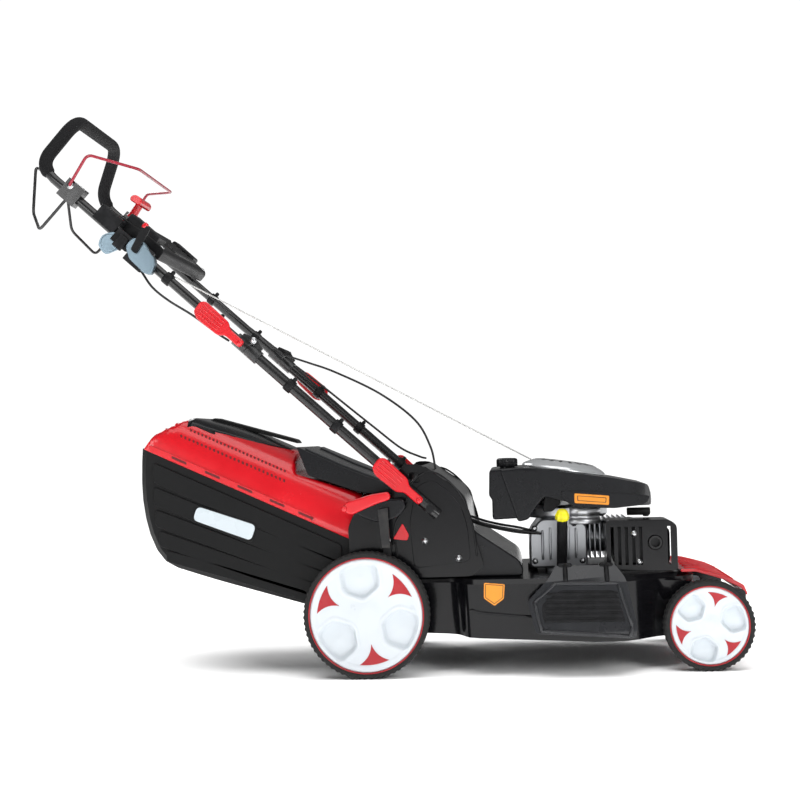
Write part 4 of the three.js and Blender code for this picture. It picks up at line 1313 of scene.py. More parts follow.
# ------------------------------------------------------------------ deck
@dataclass
class Deck:
    """The deck, its brackets, chute, covers and flaps."""

    half: float = 262.0
    bracket_face: float = 212.0
    flap_top: Flat = (-292.0, 205.0)
    flap_foot: Flat = (-307.0, 100.0)

    def build(self) -> None:
        """Makes and dresses the deck's pieces."""
        dress(GLOSS_BLACK, "deck_shell", rounding=4.0)
        dress(GLOSS_BLACK, "bracket_right", "bracket_left", rounding=1.6)
        dress(COWL_BLACK, "chute_housing", rounding=4.0, angle=30)
        dress(GLOSS_RED, "front_cover", rounding=1.2)
        dress(FLAP_GREY, "side_flap", rounding=1.0)
        dress(COWL_BLACK, "rear_flap", rounding=2.5, angle=30)
        dress(DARK_STEEL, "rear_axle", "front_axle", rounding=0.8)
        dress(CAST_ALLOY, "gearbox", rounding=2.0)
        for side in Side:
            y = side.value * (self.bracket_face + 2.5)
            marks = [(42, y, 319), (46, y, 301), (130, y, 297), (205, y, 257)]
            bolts(f"bracket_bolts_{side.name.lower()}", "deck", marks, side)
        settle("deck", [*self._label(), *[self._crease(side) for side in Side], *self._front_trim(),
                        *self._tail(), *self._leads()])
        settle("side_flap", self._flap_face())
        settle("rear_flap", self._rear_flap())
        settle("rear_axle", self._height_grip())

    def _label(self) -> list[bpy.types.Object]:
        """A blank five-sided label with a thin dark outline on the deck's right-hand side.

        Returns:
            The label and its outline.
        """
        y = -self.half
        shield = [(261, 206), (307, 202), (304, 170), (283, 155), (260, 172)]
        mid = Vector((283.0, 184.0))
        made = [plate("deck_label", rounded(shield, 3, 3), y - 0.8, y + 1, LABEL_ORANGE, 0.2)]
        lines = []
        for k in range(5):
            a, b = (mid + (Vector(shield[i % 5]) - mid) * 0.84 for i in (k, k + 1))
            run = (b - a).normalized()
            off = Vector((-run.y, run.x)) * 0.7
            corners = (a - off, b - off, b + off, a + off)
            rings = [[DATUM.at(p.x, yy, p.y) for p in corners] for yy in (y - 1.1, y)]
            lines.append(as_piece("outline", *rings_of(rings), LABEL_INK, smooth=False))
        made.append(joined("deck_label_outline", lines))
        return made

    def _crease(self, side: Side) -> bpy.types.Object:
        """The pressed bead along the deck's side.

        Args:
            side: Side of the deck.

        Returns:
            The bead.
        """
        y = side.value * (self.half - 0.6)
        line = [DATUM.at(x, y, z) for x, z in ((228, 146), (262, 140), (300, 136), (340, 132), (368, 130))]
        return tube(f"deck_crease_{side.name.lower()}", line, 3.0, GLOSS_BLACK, 12)

    def _front_trim(self) -> list[bpy.types.Object]:
        """Ribs on the front cover.

        Returns:
            The ribs.
        """
        crest = [(716, 219), (742, 218.2), (772, 210.5), (798, 203), (824, 191)]
        made = []
        for i, y in enumerate((-140, -95, -50, -5, 40, 85, 130)):
            line = [DATUM.at(x, y, z + 0.6) for x, z in crest]
            made.append(tube(f"cover_rib_{i + 1}", line, 2.2, GLOSS_RED, 10))
        return made

    def _flap_y(self, z: float) -> float:
        """Y of the side flap's outer face at a height.

        Args:
            z: The height.

        Returns:
            Y on the drawing.
        """
        (top_y, top_z), (foot_y, foot_z) = self.flap_top, self.flap_foot
        return top_y + (foot_y - top_y) * min(1.0, (top_z - z) / (top_z - foot_z))

    def _flap_sheet(self, name: str, outline: Sequence[Flat], low: float, high: float, finish: Finish,
                    rounding: float
                    ) -> bpy.types.Object:
        """A plate that lies on the flap's sloping face.

        Args:
            name: The piece's name.
            outline: Corners as x, z.
            low: How far its back stands off the flap.
            high: How far its face stands off the flap.
            finish: Its finish.
            rounding: Width of its rounded edges.

        Returns:
            The plate.
        """
        rings = [[DATUM.at(x, self._flap_y(z) - proud, z) for x, z in outline] for proud in (low, high)]
        return soften(as_piece(name, *rings_of(rings), finish), rounding)

    def _flap_face(self) -> list[bpy.types.Object]:
        """The flap's frame, louvres and hinge ears.

        Returns:
            The frame, louvres, recess and ears.
        """
        outer = [(418, 205), (553, 203), (580, 112), (575, 90), (385, 104), (371, 166)]
        inner = [(426, 190), (546, 188), (567, 120), (388, 124), (386, 160)]
        made = []
        for a, b in zip(outer, [*outer[1:], outer[0]], strict=True):
            line = [DATUM.at(x, self._flap_y(z) - 0.6, z) for x, z in
                    [(a[0] + (b[0] - a[0]) * t / 4, a[1] + (b[1] - a[1]) * t / 4) for t in range(5)]]
            made.append(tube("frame", line, 4.0, FLAP_GREY, 12, ends=(0.5, 0.9)))
        border = joined("flap_frame", made)
        louvres = []
        for k in range(6):
            z = 182 - k * 11.5
            x0 = 398 - (182 - z) * 0.12
            x1 = 552 + (182 - z) * 0.22
            outline = [(x0, z - 3.2), (x1, z - 3.2), (x1, z + 3.2), (x0, z + 3.2)]
            piece = self._flap_sheet("louvre", rounded(outline, 3, 3), -1.0, 2.6, MOULDED_BLACK, 1.2)
            apply_modifiers(piece)
            louvres.append(piece)
        recess = self._flap_sheet("flap_recess", rounded(inner, 10, 4), -1.0, 0.7, MOULDED_BLACK, 0.5)
        ears = []
        for x in (440.0, 530.0):
            line = [DATUM.at(x + dx, -256.0, 238.0) for dx in (-13.0, -6.0, 0.0, 6.0, 13.0)]
            ears.append(tube("ear", line, 7.5, MOULDED_BLACK, 16))
            arm = [DATUM.at(x, y, z) for y, z in ((-258, 240), (-268, 232), (-280, 221), (-291, 208))]
            ears.append(tube("ear", arm, 5.5, MOULDED_BLACK, 12))
        return [border, joined("flap_louvres", louvres), recess, joined("flap_ears", ears)]

    def _rear_flap(self) -> list[bpy.types.Object]:
        """Raised pads on the rear flap.

        Returns:
            The pads.
        """
        marks = [(-146, 508.5, 30), (-60, 468, 34), (26, 433.5, 30)]
        made = []
        for i, y in enumerate((-128, 128)):
            rings = []
            for lift, grow in ((-2.0, 1.0), (3.5, 1.0), (5.0, 0.93)):
                near = [DATUM.at(x, y - half * grow, top + lift) for x, top, half in marks]
                far = [DATUM.at(x, y + half * grow, top + lift) for x, top, half in reversed(marks)]
                rings.append([*near, *far])
            made.append(soften(as_piece(f"flap_pad_{i + 1}", *rings_of(rings), FLAP_GREY), 2.5))
        return made

    def _height_grip(self) -> list[bpy.types.Object]:
        """The height lever's full red grip and its hand stop.

        Returns:
            The grip and its stop.
        """
        outline = [(-48, 374), (-40, 391), (18, 407), (56, 412), (60, 395), (27, 385), (-30, 361)]
        grip = plate("height_lever_grip", rounded(outline, 8, 4), -275.5, -258.5, GLOSS_RED, 4.5)
        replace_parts(grip, "height_grip")
        line = [DATUM.at(-44, y, 376) for y in (-277, -272, -262, -257)]
        return [grip, tube("height_lever_stop", line, 7.5, GLOSS_RED, 20)]

    def _tail(self) -> list[bpy.types.Object]:
        """The dark covers between the catcher and the wheel brackets.

        Returns:
            The covers of both sides.
        """
        face = self.bracket_face
        panel = [(-40, 250), (-44, 330), (-30, 362), (20, 388), (64, 398), (70, 250)]
        guard = [(-30, 374), (-12, 356), (30, 341), (72, 352), (92, 376), (86, 396), (20, 392)]
        pawl = [(58, 303), (80, 338), (94, 312), (90, 299)]
        skin = [(104, 236), (96, 340), (112, 420), (150, 436), (190, 404), (214, 372), (226, 330), (232, 250)]
        seam = [(66, 262), (62, 330), (84, 372), (104, 430), (150, 452), (206, 408), (236, 338), (246, 262)]
        covers = [
            ("tail_panel", rounded(panel, 10, 4), (face - 5.2, face - 0.5), GLOSS_BLACK, 1.2),
            ("lever_guard", rounded(guard, 14, 5), (face - 1, face + 34), COWL_BLACK, 6.0),
            ("red_pawl", rounded(pawl, 4, 3), (face - 1, face + 4), GLOSS_RED, 1.2),
            ("bracket_skin", rounded(skin, 16, 5), (face - 1, face + 2.4), GLOSS_BLACK, 1.5),
        ]
        made = []
        for side in Side:
            hand = side.name.lower()
            for name, outline, across, finish, rounding in covers:
                made.append(plate(f"{name}_{hand}", outline, *side.span(*across), finish, rounding))
            line = flowing([(x, side.value * (face + 0.3), z) for x, z in seam], 6)
            made.append(tube(f"bracket_bead_{hand}", [DATUM.at(*p) for p in line], 2.4, GLOSS_BLACK, 10))
        return made

    def _leads(self) -> list[bpy.types.Object]:
        """The leads that run from the brackets to the engine.

        Returns:
            The leads.
        """
        made = []
        for i, (y, drop) in enumerate(((-118, 0.0), (-106, -5.0), (-92, 5.0))):
            route = [(205, y - 60, 352), (232, y - 30, 340 + drop), (264, y, 327 + drop),
                     (300, y, 318 + drop), (345, y + 6, 309 + drop), (392, y + 14, 300)]
            line = [DATUM.at(*p) for p in flowing(route, 7)]
            made.append(tube(f"engine_lead_{i + 1}", line, 3.0, SHEATH, 12))
        return made


# ------------------------------------------------------------------ engine
@dataclass
class Engine:
    """The engine's cowl, recoil starter, fuel cap, labels and fixings."""

    crank_x: float = 456.0
    cover_z: float = 443.0
    slope: float = math.atan2(30, 202)

    def build(self) -> None:
        """Makes and dresses the engine's pieces."""
        dress(COWL_BLACK, "engine_cowl", rounding=5.0, angle=28)
        dress(COWL_BLACK, "fuel_tank", rounding=3.0)
        dress(MOULDED_BLACK, "air_filter_box", rounding=3.0)
        dress(MOULDED_BLACK, "oil_filler_tube", rounding=0.8)
        dress(GLOSS_BLACK, "muffler_guard", rounding=1.2)
        dress(DARK_STEEL, "muffler", rounding=2.0)
        dress(PLAIN_STEEL, "crankshaft", "blade", rounding=0.6)
        dress(CAST_ALLOY, "crankcase", rounding=3.0)
        dress(CAST_ALLOY, "cylinder", rounding=0.8)
        dress(CAST_ALLOY, "flywheel", rounding=0.8)
        dress(BRIGHT_ALLOY, "blower_housing", rounding=1.0)
        dress(SOFT_RUBBER, "spark_plug_boot", rounding=1.5)
        dress(SILVER, "recoil_cover")
        settle("deck", [self._recoil(), self._recoil_vents(), *self._label(), self._case_bolts(),
                        *self._covers()])
        for node, piece in (("fuel_cap", self._cap()), ("dipstick", self._dipstick())):
            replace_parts(piece, node)
            settle(node, [piece])

    def _tilt(self, x: float, y: float, h: float) -> Vector:
        """A place on the sloping recoil cover, from its middle.

        Args:
            x: Distance down the slope, forwards.
            y: Distance to the left.
            h: Distance square to the cover.

        Returns:
            The place in the frame.
        """
        c, s = math.cos(self.slope), math.sin(self.slope)
        return DATUM.at(self.crank_x - 4 + x * c + h * s, y, self.cover_z - x * s + h * c)

    def _recoil(self) -> bpy.types.Object:
        """The domed recoil cover.

        Returns:
            The cover.
        """
        steps = [(99.6, 1.0), (99.8, 3.0), (98, 6.4), (92, 10.5), (84, 14.6), (78, 16.8), (74, 19.2),
                 (60, 21.6), (45, 23.2), (30, 23.8), (26, 22.4), (22, 22.2), (18, 23.6), (0.4, 24.2)]
        rings = [[self._tilt(r * math.cos(a), r * math.sin(a), h) for a in turns(96)] for r, h in steps]
        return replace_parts(as_piece("recoil_dome", *rings_of(rings), SILVER), "recoil_cover")

    def _recoil_vents(self) -> bpy.types.Object:
        """The recoil cover's radial cooling slits.

        Returns:
            The slits as one piece.
        """
        made = []
        for a in turns(18):
            rings = []
            for lift in (-1.5, 0.35):
                ring = []
                for r, h, w in ((50, 22.8, -2.6), (70, 20.2, -3.4), (70, 20.2, 3.4), (50, 22.8, 2.6)):
                    x = r * math.cos(a) - w * math.sin(a)
                    y = r * math.sin(a) + w * math.cos(a)
                    ring.append(self._tilt(x, y, h + lift))
                rings.append(ring)
            made.append(as_piece("slit", *rings_of(rings), MOULDED_BLACK, smooth=False))
        return joined("recoil_slits", made)

    def _label(self) -> list[bpy.types.Object]:
        """A blank orange strip with a dark outline on the cowl.

        Returns:
            The strip, its outline and its centre.
        """
        face = -153.6
        border = [(470, 394), (549, 387), (548, 366), (470, 372)]
        outline = [(476, 389), (543, 383), (542, 371), (476, 377)]
        centre = [(478, 387.5), (541, 381.5), (540, 372.5), (478, 378.5)]
        return [
            plate("cowl_label", rounded(border, 3, 3), face - 0.9, face + 1, LABEL_ORANGE, 0.2),
            plate("cowl_label_panel", rounded(outline, 2, 3), face - 1.2, face, LABEL_INK, 0.1),
            plate("cowl_label_centre", rounded(centre, 2, 3), face - 1.4, face, LABEL_ORANGE, 0.1),
        ]

    def _covers(self) -> list[bpy.types.Object]:
        """The cowl's shoulder over the tank, its brow, and the small shroud behind the dipstick.

        Returns:
            The covers.
        """
        shoulder = [(300, 451), (348, 456), (440, 450), (440, 380), (403, 387), (378, 358), (364, 336),
                    (340, 331)]
        brow = [(440, 386), (466, 363), (560, 358), (622, 364), (640, 374), (641, 385), (520, 399),
                (440, 402)]
        shroud = [(402, 388), (437, 382), (440, 372), (420, 352), (398, 352)]
        made = [plate("tank_shoulder", rounded(shoulder, 8, 4), -148.5, 148.5, COWL_BLACK, 7.0)]
        skirt = [(0.4, 0), (44, 0), (45, 1.5), (45, 12), (43.6, 13), (43.6, 20), (45, 21), (45, 44),
                 (0.4, 44)]
        made.append(turned("bright_skirt", skirt, DATUM.at(489, -62, 320), Vector((0, 0, 1)), BRIGHT_ALLOY,
                           64))
        ribs = []
        for x, z0, z1 in ((396, 240, 306), (414, 240, 312), (456, 240, 314), (474, 244, 310),
                          (435, 236, 250)):
            line = [DATUM.at(x, -96.5, z0 + (z1 - z0) * k / 4) for k in range(5)]
            ribs.append(tube("rib", line, 3.4, CAST_ALLOY, 12))
        made.append(joined("crankcase_ribs", ribs))
        for side in Side:
            hand = side.name.lower()
            made.append(plate(f"cowl_brow_{hand}", rounded(brow, 6, 3), *side.span(146, 152.5), COWL_BLACK,
                              2.5))
            made.append(plate(f"shroud_{hand}", rounded(shroud, 6, 3), *side.span(100, 128), MOULDED_BLACK,
                              2.5))
        return made

    def _case_bolts(self) -> bpy.types.Object:
        """Bolts on the crankcase and the muffler guard.

        Returns:
            The bolts as one piece.
        """
        right = Side.RIGHT
        heads = [Bolt(5).build(x, -96.0, z, right) for x, z in ((378, 312), (378, 236), (488, 236),
                                                                (470, 322))]
        heads += [Bolt(5).build(x, -167.0, z, right) for x, z in ((602, 300), (612, 236))]
        return joined("engine_bolts", heads)

    def _cap(self) -> bpy.types.Object:
        """The knurled fuel cap.

        Returns:
            The cap.
        """
        profile = [(19.5, 0.5), (24.4, 0.5), (25, 2), (25, 15.5), (23.5, 18.6), (20, 20), (10, 20.6),
                   (0.4, 20.8)]

        def knurl(r: float, angle: float) -> float:
            """Grooves the cap's rim."""
            return r - (1.1 * (0.5 - 0.5 * math.cos(angle * 28)) if r > 23 else 0.0)

        return turned("knurled_cap", profile, DATUM.at(318, -60, 456.5), Vector((0, 0, 1)), COWL_BLACK, 168,
                      knurl)

    def _dipstick(self) -> bpy.types.Object:
        """The yellow dipstick with its finger ring.

        Returns:
            The dipstick.
        """
        foot, mouth = DATUM.at(438, -132, 228), DATUM.at(440, -173, 336)
        axis = mouth - foot
        profile = [(2.5, -100), (2.5, 0.5), (15, 0.6), (16, 2), (16, 12), (14.5, 15), (12.5, 19), (11, 22.5),
                   (6, 24.5), (0.4, 24.8)]

        def flutes(r: float, angle: float) -> float:
            """Eight finger flutes."""
            return r - (1.6 * (0.5 - 0.5 * math.cos(angle * 8)) if r > 10 else 0.0)

        return turned("yellow_dipstick", profile, mouth, axis, YELLOW, 64, flutes)


# ------------------------------------------------------------------ handle
@dataclass
class Handle:
    """The folding handle with its grip, bails, console, levers, rope and cables."""

    half: float = 232.0
    fold: float = 548.0
    corner: float = 1187.0
    grip: tuple[float, float, float] = (1219.0, 160.0, 133.0)
    bail: float = 1097.0
    block: float = 15.0

    def line(self, points: Iterable[Vector]) -> list[Vector]:
        """Handle places as frame places."""
        return [DATUM.handle(*p) for p in points]

    def build(self) -> None:
        """Makes and dresses the handle's pieces."""
        dress(TUBE_BLACK, "lower_tube_right", "lower_tube_left", "upper_handle", rounding=0.7, angle=50)
        dress(MOULDED_BLACK, "console", rounding=3.0)
        dress(ZINC, "throttle_body", rounding=1.5)
        dress(MOULDED_BLACK, "throttle_lever", rounding=1.2)
        dress(GLOSS_RED, "fold_lever_right", "fold_lever_left", "clamp_lever_right", "clamp_lever_left",
              rounding=2.2)
        dress(GLOSS_RED, "starter_grip", rounding=2.5)
        self._foam()
        self._bails()
        self._paddle_ribs()
        self._console()
        self._fixings()
        self._cables()

    def _ride(self, piece: bpy.types.Object, body: str, *nodes: str) -> None:
        """Puts a piece on a body in place of nodes.

        Args:
            piece: The piece.
            body: Name of the body it moves with.
            nodes: Frame nodes that it stands for.
        """
        if nodes:
            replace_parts(piece, *nodes)
        settle(body, [piece])

    def _loop(self, s0: float) -> list[Point]:
        """Corners of the upper tube from one mid hinge to the other.

        Args:
            s0: Distance up the handle of both ends.

        Returns:
            The corners on the handle.
        """
        s, y, n = self.grip
        return [(s0, self.half, 0), (self.corner, self.half, 0), (s, y, n), (s, -y, n),
                (self.corner, -self.half, 0), (s0, -self.half, 0)]

    def _foam(self) -> None:
        """The foam sleeve round the hand grip."""
        steps, drop = 16, 5
        route = bent(self._loop(self.fold + 1), 46, steps)[drop:-drop]
        dense: list[Vector] = []
        for a, b in zip(route, route[1:], strict=False):
            count = max(1, round((b - a).length / 9))
            dense += [a.lerp(b, k / count) for k in range(count)]
        sleeve = tube("foam_sleeve", self.line([*dense, route[-1]]), 15.5, FOAM, 28, ends=(0.78, 0.97))
        self._ride(sleeve, "upper_handle", "foam_grip")

    def _bails(self) -> None:
        """The two wire bails."""
        wire = 3.5
        brake_y = self.half + self.block + 6
        s = self.bail

        def brake(side: int) -> list[Point]:
            """Half of the brake bail, from its pivot."""
            return [(s, side * (brake_y - 13), 14), (s, side * brake_y, 14), (s + 15, side * brake_y, 93),
                    (s - 63, side * 150, 142)]

        drive_y = self.half - self.block - 6

        def drive(side: int) -> list[Point]:
            """Half of the drive bail, from its pivot."""
            return [(s, side * (drive_y + 13), -10), (s, side * drive_y, -10), (s, side * drive_y, -112),
                    (s + 65, side * 140, -99), (s + 144, side * 109, -17)]

        for name, half, finish in (("brake_bail", brake, WIRE_RED), ("drive_bail", drive, TUBE_BLACK)):
            route = bent([*half(1), *reversed(half(-1))], 14, 8)
            self._ride(tube(f"{name}_wire", self.line(route), wire, finish, 16), name, name)

    def _paddle_ribs(self) -> None:
        """Grip ribs on the four cam paddles."""
        paddles = [
            ("fold_lever_right", 30, 1, 1, self.half + 25), ("fold_lever_left", 30, 1, -1, self.half + 25),
            ("clamp_lever_right", self.fold + 16, 1, 1, self.half + 29),
            ("clamp_lever_left", self.fold - 16, -1, -1, self.half + 29),
        ]
        for body, pivot, way, side, face in paddles:
            made = []
            for n in (-12.0, -4.0, 4.0, 12.0):
                route = [Vector((pivot + way * d, side * (face + 0.1), n)) for d in (56, 70, 90, 108, 120)]
                made.append(tube("rib", self.line(route), 2.0, GLOSS_RED, 10))
            eye = [Vector((pivot, side * (face + k), 0)) for k in (-3.0, 0.5, 2.5)]
            made.append(tube("rib", self.line(eye), 7.0, GLOSS_RED, 20))
            self._ride(joined(f"{body}_ribs", made), body)

    def _box(self, name: str, s: Flat, y: Flat, n: Flat, finish: Finish, rounding: float) -> bpy.types.Object:
        """A rounded block on the handle, with its upper face drawn in.

        Args:
            name: The piece's name.
            s: Span up the handle.
            y: Span across it.
            n: Span square to it.
            finish: Its finish.
            rounding: Width of its rounded edges.

        Returns:
            The block.
        """
        rings = []
        for level, inset in ((n[0], 0.0), (n[1] - 3, 0.0), (n[1], 2.5)):
            (s0, s1), (y0, y1) = s, y
            ring = [(s0 + inset, y0 + inset), (s1 - inset, y0 + inset), (s1 - inset, y1 - inset),
                    (s0 + inset, y1 - inset)]
            rings.append([DATUM.handle(a, b, level) for a, b in ring])
        return soften(as_piece(name, *rings_of(rings), finish), rounding)

    def _console(self) -> None:
        """Trays, cable towers and screws on the console."""
        pieces = [
            self._box("console_tray", (862, 960), (-150, 70), (34, 47), COWL_BLACK, 3),
            self._box("console_tower_right", (872, 960), (150, 212), (30, 58), MOULDED_BLACK, 4),
            self._box("console_tower_left", (880, 950), (-210, -160), (30, 54), MOULDED_BLACK, 4),
            self._box("console_step", (970, 1010), (-190, 100), (22, 33), MOULDED_BLACK, 3),
        ]
        for k, s in enumerate(range(874, 947, 18)):
            pieces.append(self._box(f"console_rib_{k + 1}", (s, s + 6), (-140, 60), (44, 50), MOULDED_BLACK,
                                    1.5))
        for piece in pieces:
            self._ride(piece, "upper_handle")
        head = [(0.3, -1), (6, -1), (6, 1.4), (4.6, 2.6), (2.2, 2.9), (2, 1.6), (0.3, 1.6)]
        screws = []
        for s, y, n in ((856, 205, 43), (856, -205, 43), (1004, 205, 28), (1004, -205, 28), (920, 110, 42)):
            up = DATUM.handle(s, y, n + 1) - DATUM.handle(s, y, n)
            screws.append(turned("screw", head, DATUM.handle(s, y, n), up, BOLT_ZINC, 18))
        self._ride(joined("console_screws", screws), "upper_handle")
        housings = [
            ("throttle_housing", (842, 892), (250, 266), (-30, 26), 5),
            ("bail_housing", (950, 1012), (206, 250), (-6, 34), 6),
            ("cable_block", (898, 944), (246, 262), (-16, 18), 4),
            ("drum_cover", (906, 930), (262, 270), (-22, 10), 3),
        ]
        for name, s_span, y_span, n_span, rounding in housings:
            self._ride(self._box(name, s_span, y_span, n_span, MOULDED_BLACK, rounding), "upper_handle")

    def _fixings(self) -> None:
        """Clips round the tubes, pivot bolts and the throttle's knob."""
        head = [(0.3, -0.5), (8, -0.5), (8, 1.2), (5.6, 1.4), (5.6, 3.4), (4, 4.6), (0.3, 5)]
        for hand, side in (("right", 1), ("left", -1)):
            for body, marks, radius in (("lower_handle", (140, 280, 420), 12),
                                        ("upper_handle", (640, 790), 11)):
                clips = []
                for s in marks:
                    ring = [Vector((s + d, side * self.half, 0)) for d in (-9, -4, 0, 4, 9)]
                    clips.append(tube("clip", self.line(ring), radius + 3.4, MOULDED_BLACK, 24,
                                      ends=(0.82, 0.98)))
                    ear = [Vector((s, side * self.half, n)) for n in (10, 15, 19, 21)]
                    clips.append(tube("clip", self.line(ear), 5.0, MOULDED_BLACK, 12))
                self._ride(joined(f"{body}_clips_{hand}", clips), body)
            pivots = [
                ("bail_pivot", "upper_handle", (self.bail, 14), self.half + self.block),
                ("mid_hinge", "upper_handle", (self.fold, 23), self.half + 11),
                ("fold_pivot", "lower_handle", (0.0, 0), self.half + 12),
            ]
            for name, body, (s, n), face in pivots:
                out = DATUM.handle(s, side * (face + 1), n) - DATUM.handle(s, side * face, n)
                place = DATUM.handle(s, side * face, n)
                self._ride(turned(f"{name}_bolt_{hand}", head, place, out, BOLT_ZINC, 18), body)
        knob = [Vector((899, 268, n)) for n in (54, 58, 64)]
        self._ride(tube("throttle_knob", self.line(knob), 6.5, GLOSS_RED, 18), "throttle_lever")
        disc = [Vector((940, y, -24)) for y in (252.5, 254, 256)]
        self._ride(tube("bail_drum", self.line(disc), 20.0, ZINC, 40, ends=(0.9, 0.98)), "upper_handle")

    def _cables(self) -> None:
        """The starter rope and the four cables, laid along routes that cross the handle's joints."""
        eye, mouth = Vector((827, 190, 2)), Vector((-103, 64, 232))
        meet = eye.lerp(mouth, 0.3)
        top = [(974.4, 150, 53.6), (971.6, 150, 29.8), (968, 150, 5), (958, 153, -8), (925, 165, -10),
               (880, 180, -4), tuple(eye)]
        rope, cable = 1.75, 2.7
        throttle_top = [(838, -150, 8), (760, -186, 6), (659, -196, 11), (548, -196, 16)]
        throttle_low = [(548, -196, 16), (480, -170, 45), (409, -130, 73), (285, -80, 108), (172, -30, 118),
                        (100, 10, 96), (55, 45, 66)]
        brake = [(508, -210, 14), (420, -216, 20), (325, -222, 24), (249, -216, 28), (163, -200, 34),
                 (112, -185, 50), (96, -180, 58)]
        drive = [(846, 236, -27), (800, 250, -36), (751, 252, -34), (690, 246, -24), (630, 228, -20),
                 (596, 212, -16)]
        span = [tuple(eye.lerp(meet, k / 10)) for k in range(11)]
        low = [tuple(meet.lerp(mouth, k / 16)) for k in range(17)]
        runs = [
            ("starter_rope_top", flowing(top, 8), rope, CORD_WHITE, "rope_upper", "upper_handle",
             "starter_grip"),
            ("starter_rope_middle", flowing(span, 2), rope, CORD_WHITE, "rope_upper", "upper_handle",
             "lower_handle"),
            ("starter_rope_low", flowing(low, 2), rope, CORD_WHITE, "rope_lower", "lower_handle", "deck"),
            ("throttle_cable_top", flowing(throttle_top, 8), cable, SHEATH, "throttle_cable_upper",
             "upper_handle", "lower_handle"),
            ("throttle_cable_arc", flowing(throttle_low, 8), cable, SHEATH, "throttle_cable_lower",
             "lower_handle", "deck"),
            ("brake_cable_run", flowing(brake, 8), cable, SHEATH, "brake_cable", "lower_handle", "deck"),
        ]
        for name, route, radius, finish, node, near, far in runs:
            line = self.line(route)
            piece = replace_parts(tube(name, line, radius, finish, 12), node)
            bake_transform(piece)
            LOG.info("built %s", name)
        self._ride(tube("drive_cable_run", self.line(flowing(drive, 8)), cable, SHEATH, 12), "upper_handle",
                   "drive_cable")


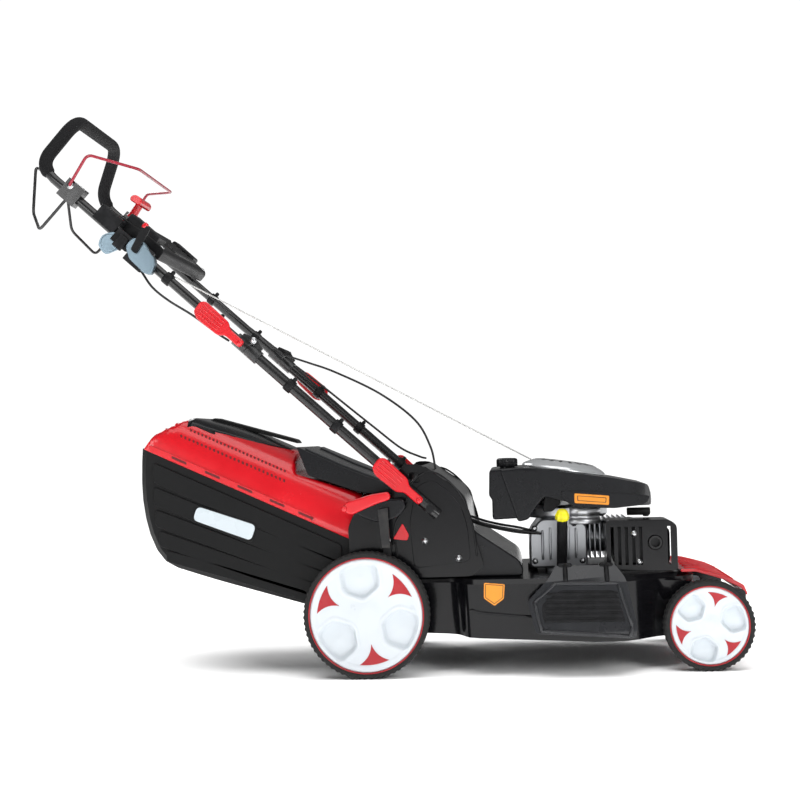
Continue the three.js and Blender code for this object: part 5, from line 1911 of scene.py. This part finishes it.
# ------------------------------------------------------------------ studio
@dataclass
class Studio:
    """The pale floor, the soft lights and the camera."""

    eye: Point = (326.75, -3269.95, 526.18)
    yaw: float = math.radians(2.9109)
    pitch: float = math.radians(1.632)
    roll: float = math.radians(-1.3946)
    lens: float = 61.11
    shift: float = -0.05
    fill: float = 0.2
    backdrop: float = 1.05
    wash: float = 3.4
    reach: float = 40.0

    def build(self) -> None:
        """Makes the stage."""
        self._camera()
        self._floor()
        self._lights()

    def _camera(self) -> None:
        """The camera, level with the engine, on the mower's right."""
        ahead = Vector((-math.sin(self.yaw) * math.cos(self.pitch), math.cos(self.yaw) * math.cos(self.pitch),
                        math.sin(self.pitch)))
        right = ahead.cross(Vector((0, 0, 1))).normalized()
        up = right.cross(ahead)
        c, s = math.cos(self.roll), math.sin(self.roll)
        turned_right, turned_up = right * c + up * s, up * c - right * s
        data = bpy.data.cameras.new("camera")
        data.lens, data.sensor_width = self.lens, 36.0
        data.shift_x = self.shift
        data.clip_end = 100
        camera = bpy.data.objects.new("camera", data)
        axes = Matrix((turned_right, turned_up, -ahead)).transposed().to_4x4()
        camera.matrix_world = Matrix.Translation(DATUM.at(*self.eye)) @ axes
        bpy.context.scene.collection.objects.link(camera)
        bpy.context.scene.camera = camera

    def _floor(self) -> None:
        """A wide pale floor."""
        mesh = bpy.data.meshes.new("floor")
        corners = [(self.reach * x, self.reach * y, 0) for x, y in ((-1, -1), (1, -1), (1, 1), (-1, 1))]
        mesh.from_pydata(corners, [], [(0, 1, 2, 3)])
        floor = bpy.data.objects.new("floor", mesh)
        bpy.context.scene.collection.objects.link(floor)
        material = bpy.data.materials.new("pale_floor")
        material.use_nodes = True
        shader = material.node_tree.nodes["Principled BSDF"]
        shader.inputs["Base Color"].default_value = (0.95, 0.95, 0.95, 1)
        shader.inputs["Roughness"].default_value = 0.6
        shader.inputs["Specular IOR Level"].default_value = 0.2
        mesh.materials.append(material)

    def _lights(self) -> None:
        """A bright sky, four soft boxes and a wash that only the floor takes."""
        world = bpy.data.worlds.new("studio_sky")
        world.use_nodes = True
        sky = world.node_tree.nodes["Background"]
        sky.inputs["Color"].default_value = (1, 1, 1, 1)
        seen = world.node_tree.nodes.new("ShaderNodeLightPath")
        level = world.node_tree.nodes.new("ShaderNodeMapRange")
        level.inputs["To Min"].default_value = self.fill
        level.inputs["To Max"].default_value = self.backdrop
        world.node_tree.links.new(seen.outputs["Is Camera Ray"], level.inputs["Value"])
        world.node_tree.links.new(level.outputs["Result"], sky.inputs["Strength"])
        bpy.context.scene.world = world
        bpy.context.scene.view_settings.view_transform = "Standard"
        boxes = [
            ("top_box", (0.1, -0.6, 3.2), (0, 0, 0.3), 2.6, 38.0),
            ("front_box", (2.2, -3.0, 2.0), (0.2, 0, 0.4), 1.7, 44.0),
            ("side_box", (-1.9, -3.2, 1.3), (-0.2, 0, 0.5), 1.2, 18.0),
            ("back_box", (-2.0, 2.6, 2.4), (0, 0, 0.4), 1.8, 36.0),
        ]
        for name, place, target, size, power in boxes:
            data = bpy.data.lights.new(name, "AREA")
            data.size, data.energy = size, power
            light = bpy.data.objects.new(name, data)
            light.location = place
            light.rotation_mode = "QUATERNION"
            light.rotation_quaternion = (Vector(target) - Vector(place)).to_track_quat("-Z", "Y")
            bpy.context.scene.collection.objects.link(light)
        data = bpy.data.lights.new("floor_wash", "SUN")
        data.energy, data.angle = self.wash, math.radians(70)
        wash = bpy.data.objects.new("floor_wash", data)
        floors = bpy.data.collections.new("floors")
        floors.objects.link(bpy.data.objects["floor"])
        wash.light_linking.receiver_collection = floors
        bpy.context.scene.collection.objects.link(wash)


def main() -> None:
    """Builds the mower's look in order."""
    logging.basicConfig(level=logging.INFO, format="%(message)s")
    Studio().build()
    rear_turn, front_turn = math.radians(99), math.radians(15)
    for name, side, turn, blocks in (
        ("rear_right", Side.RIGHT, rear_turn, 66), ("rear_left", Side.LEFT, rear_turn, 66),
        ("front_right", Side.RIGHT, front_turn, 48), ("front_left", Side.LEFT, front_turn, 48),
    ):
        Wheel(name, side, turn, blocks).build()
    Catcher().build()
    Deck().build()
    Engine().build()
    Handle().build()


if __name__ == "__main__":
    main()
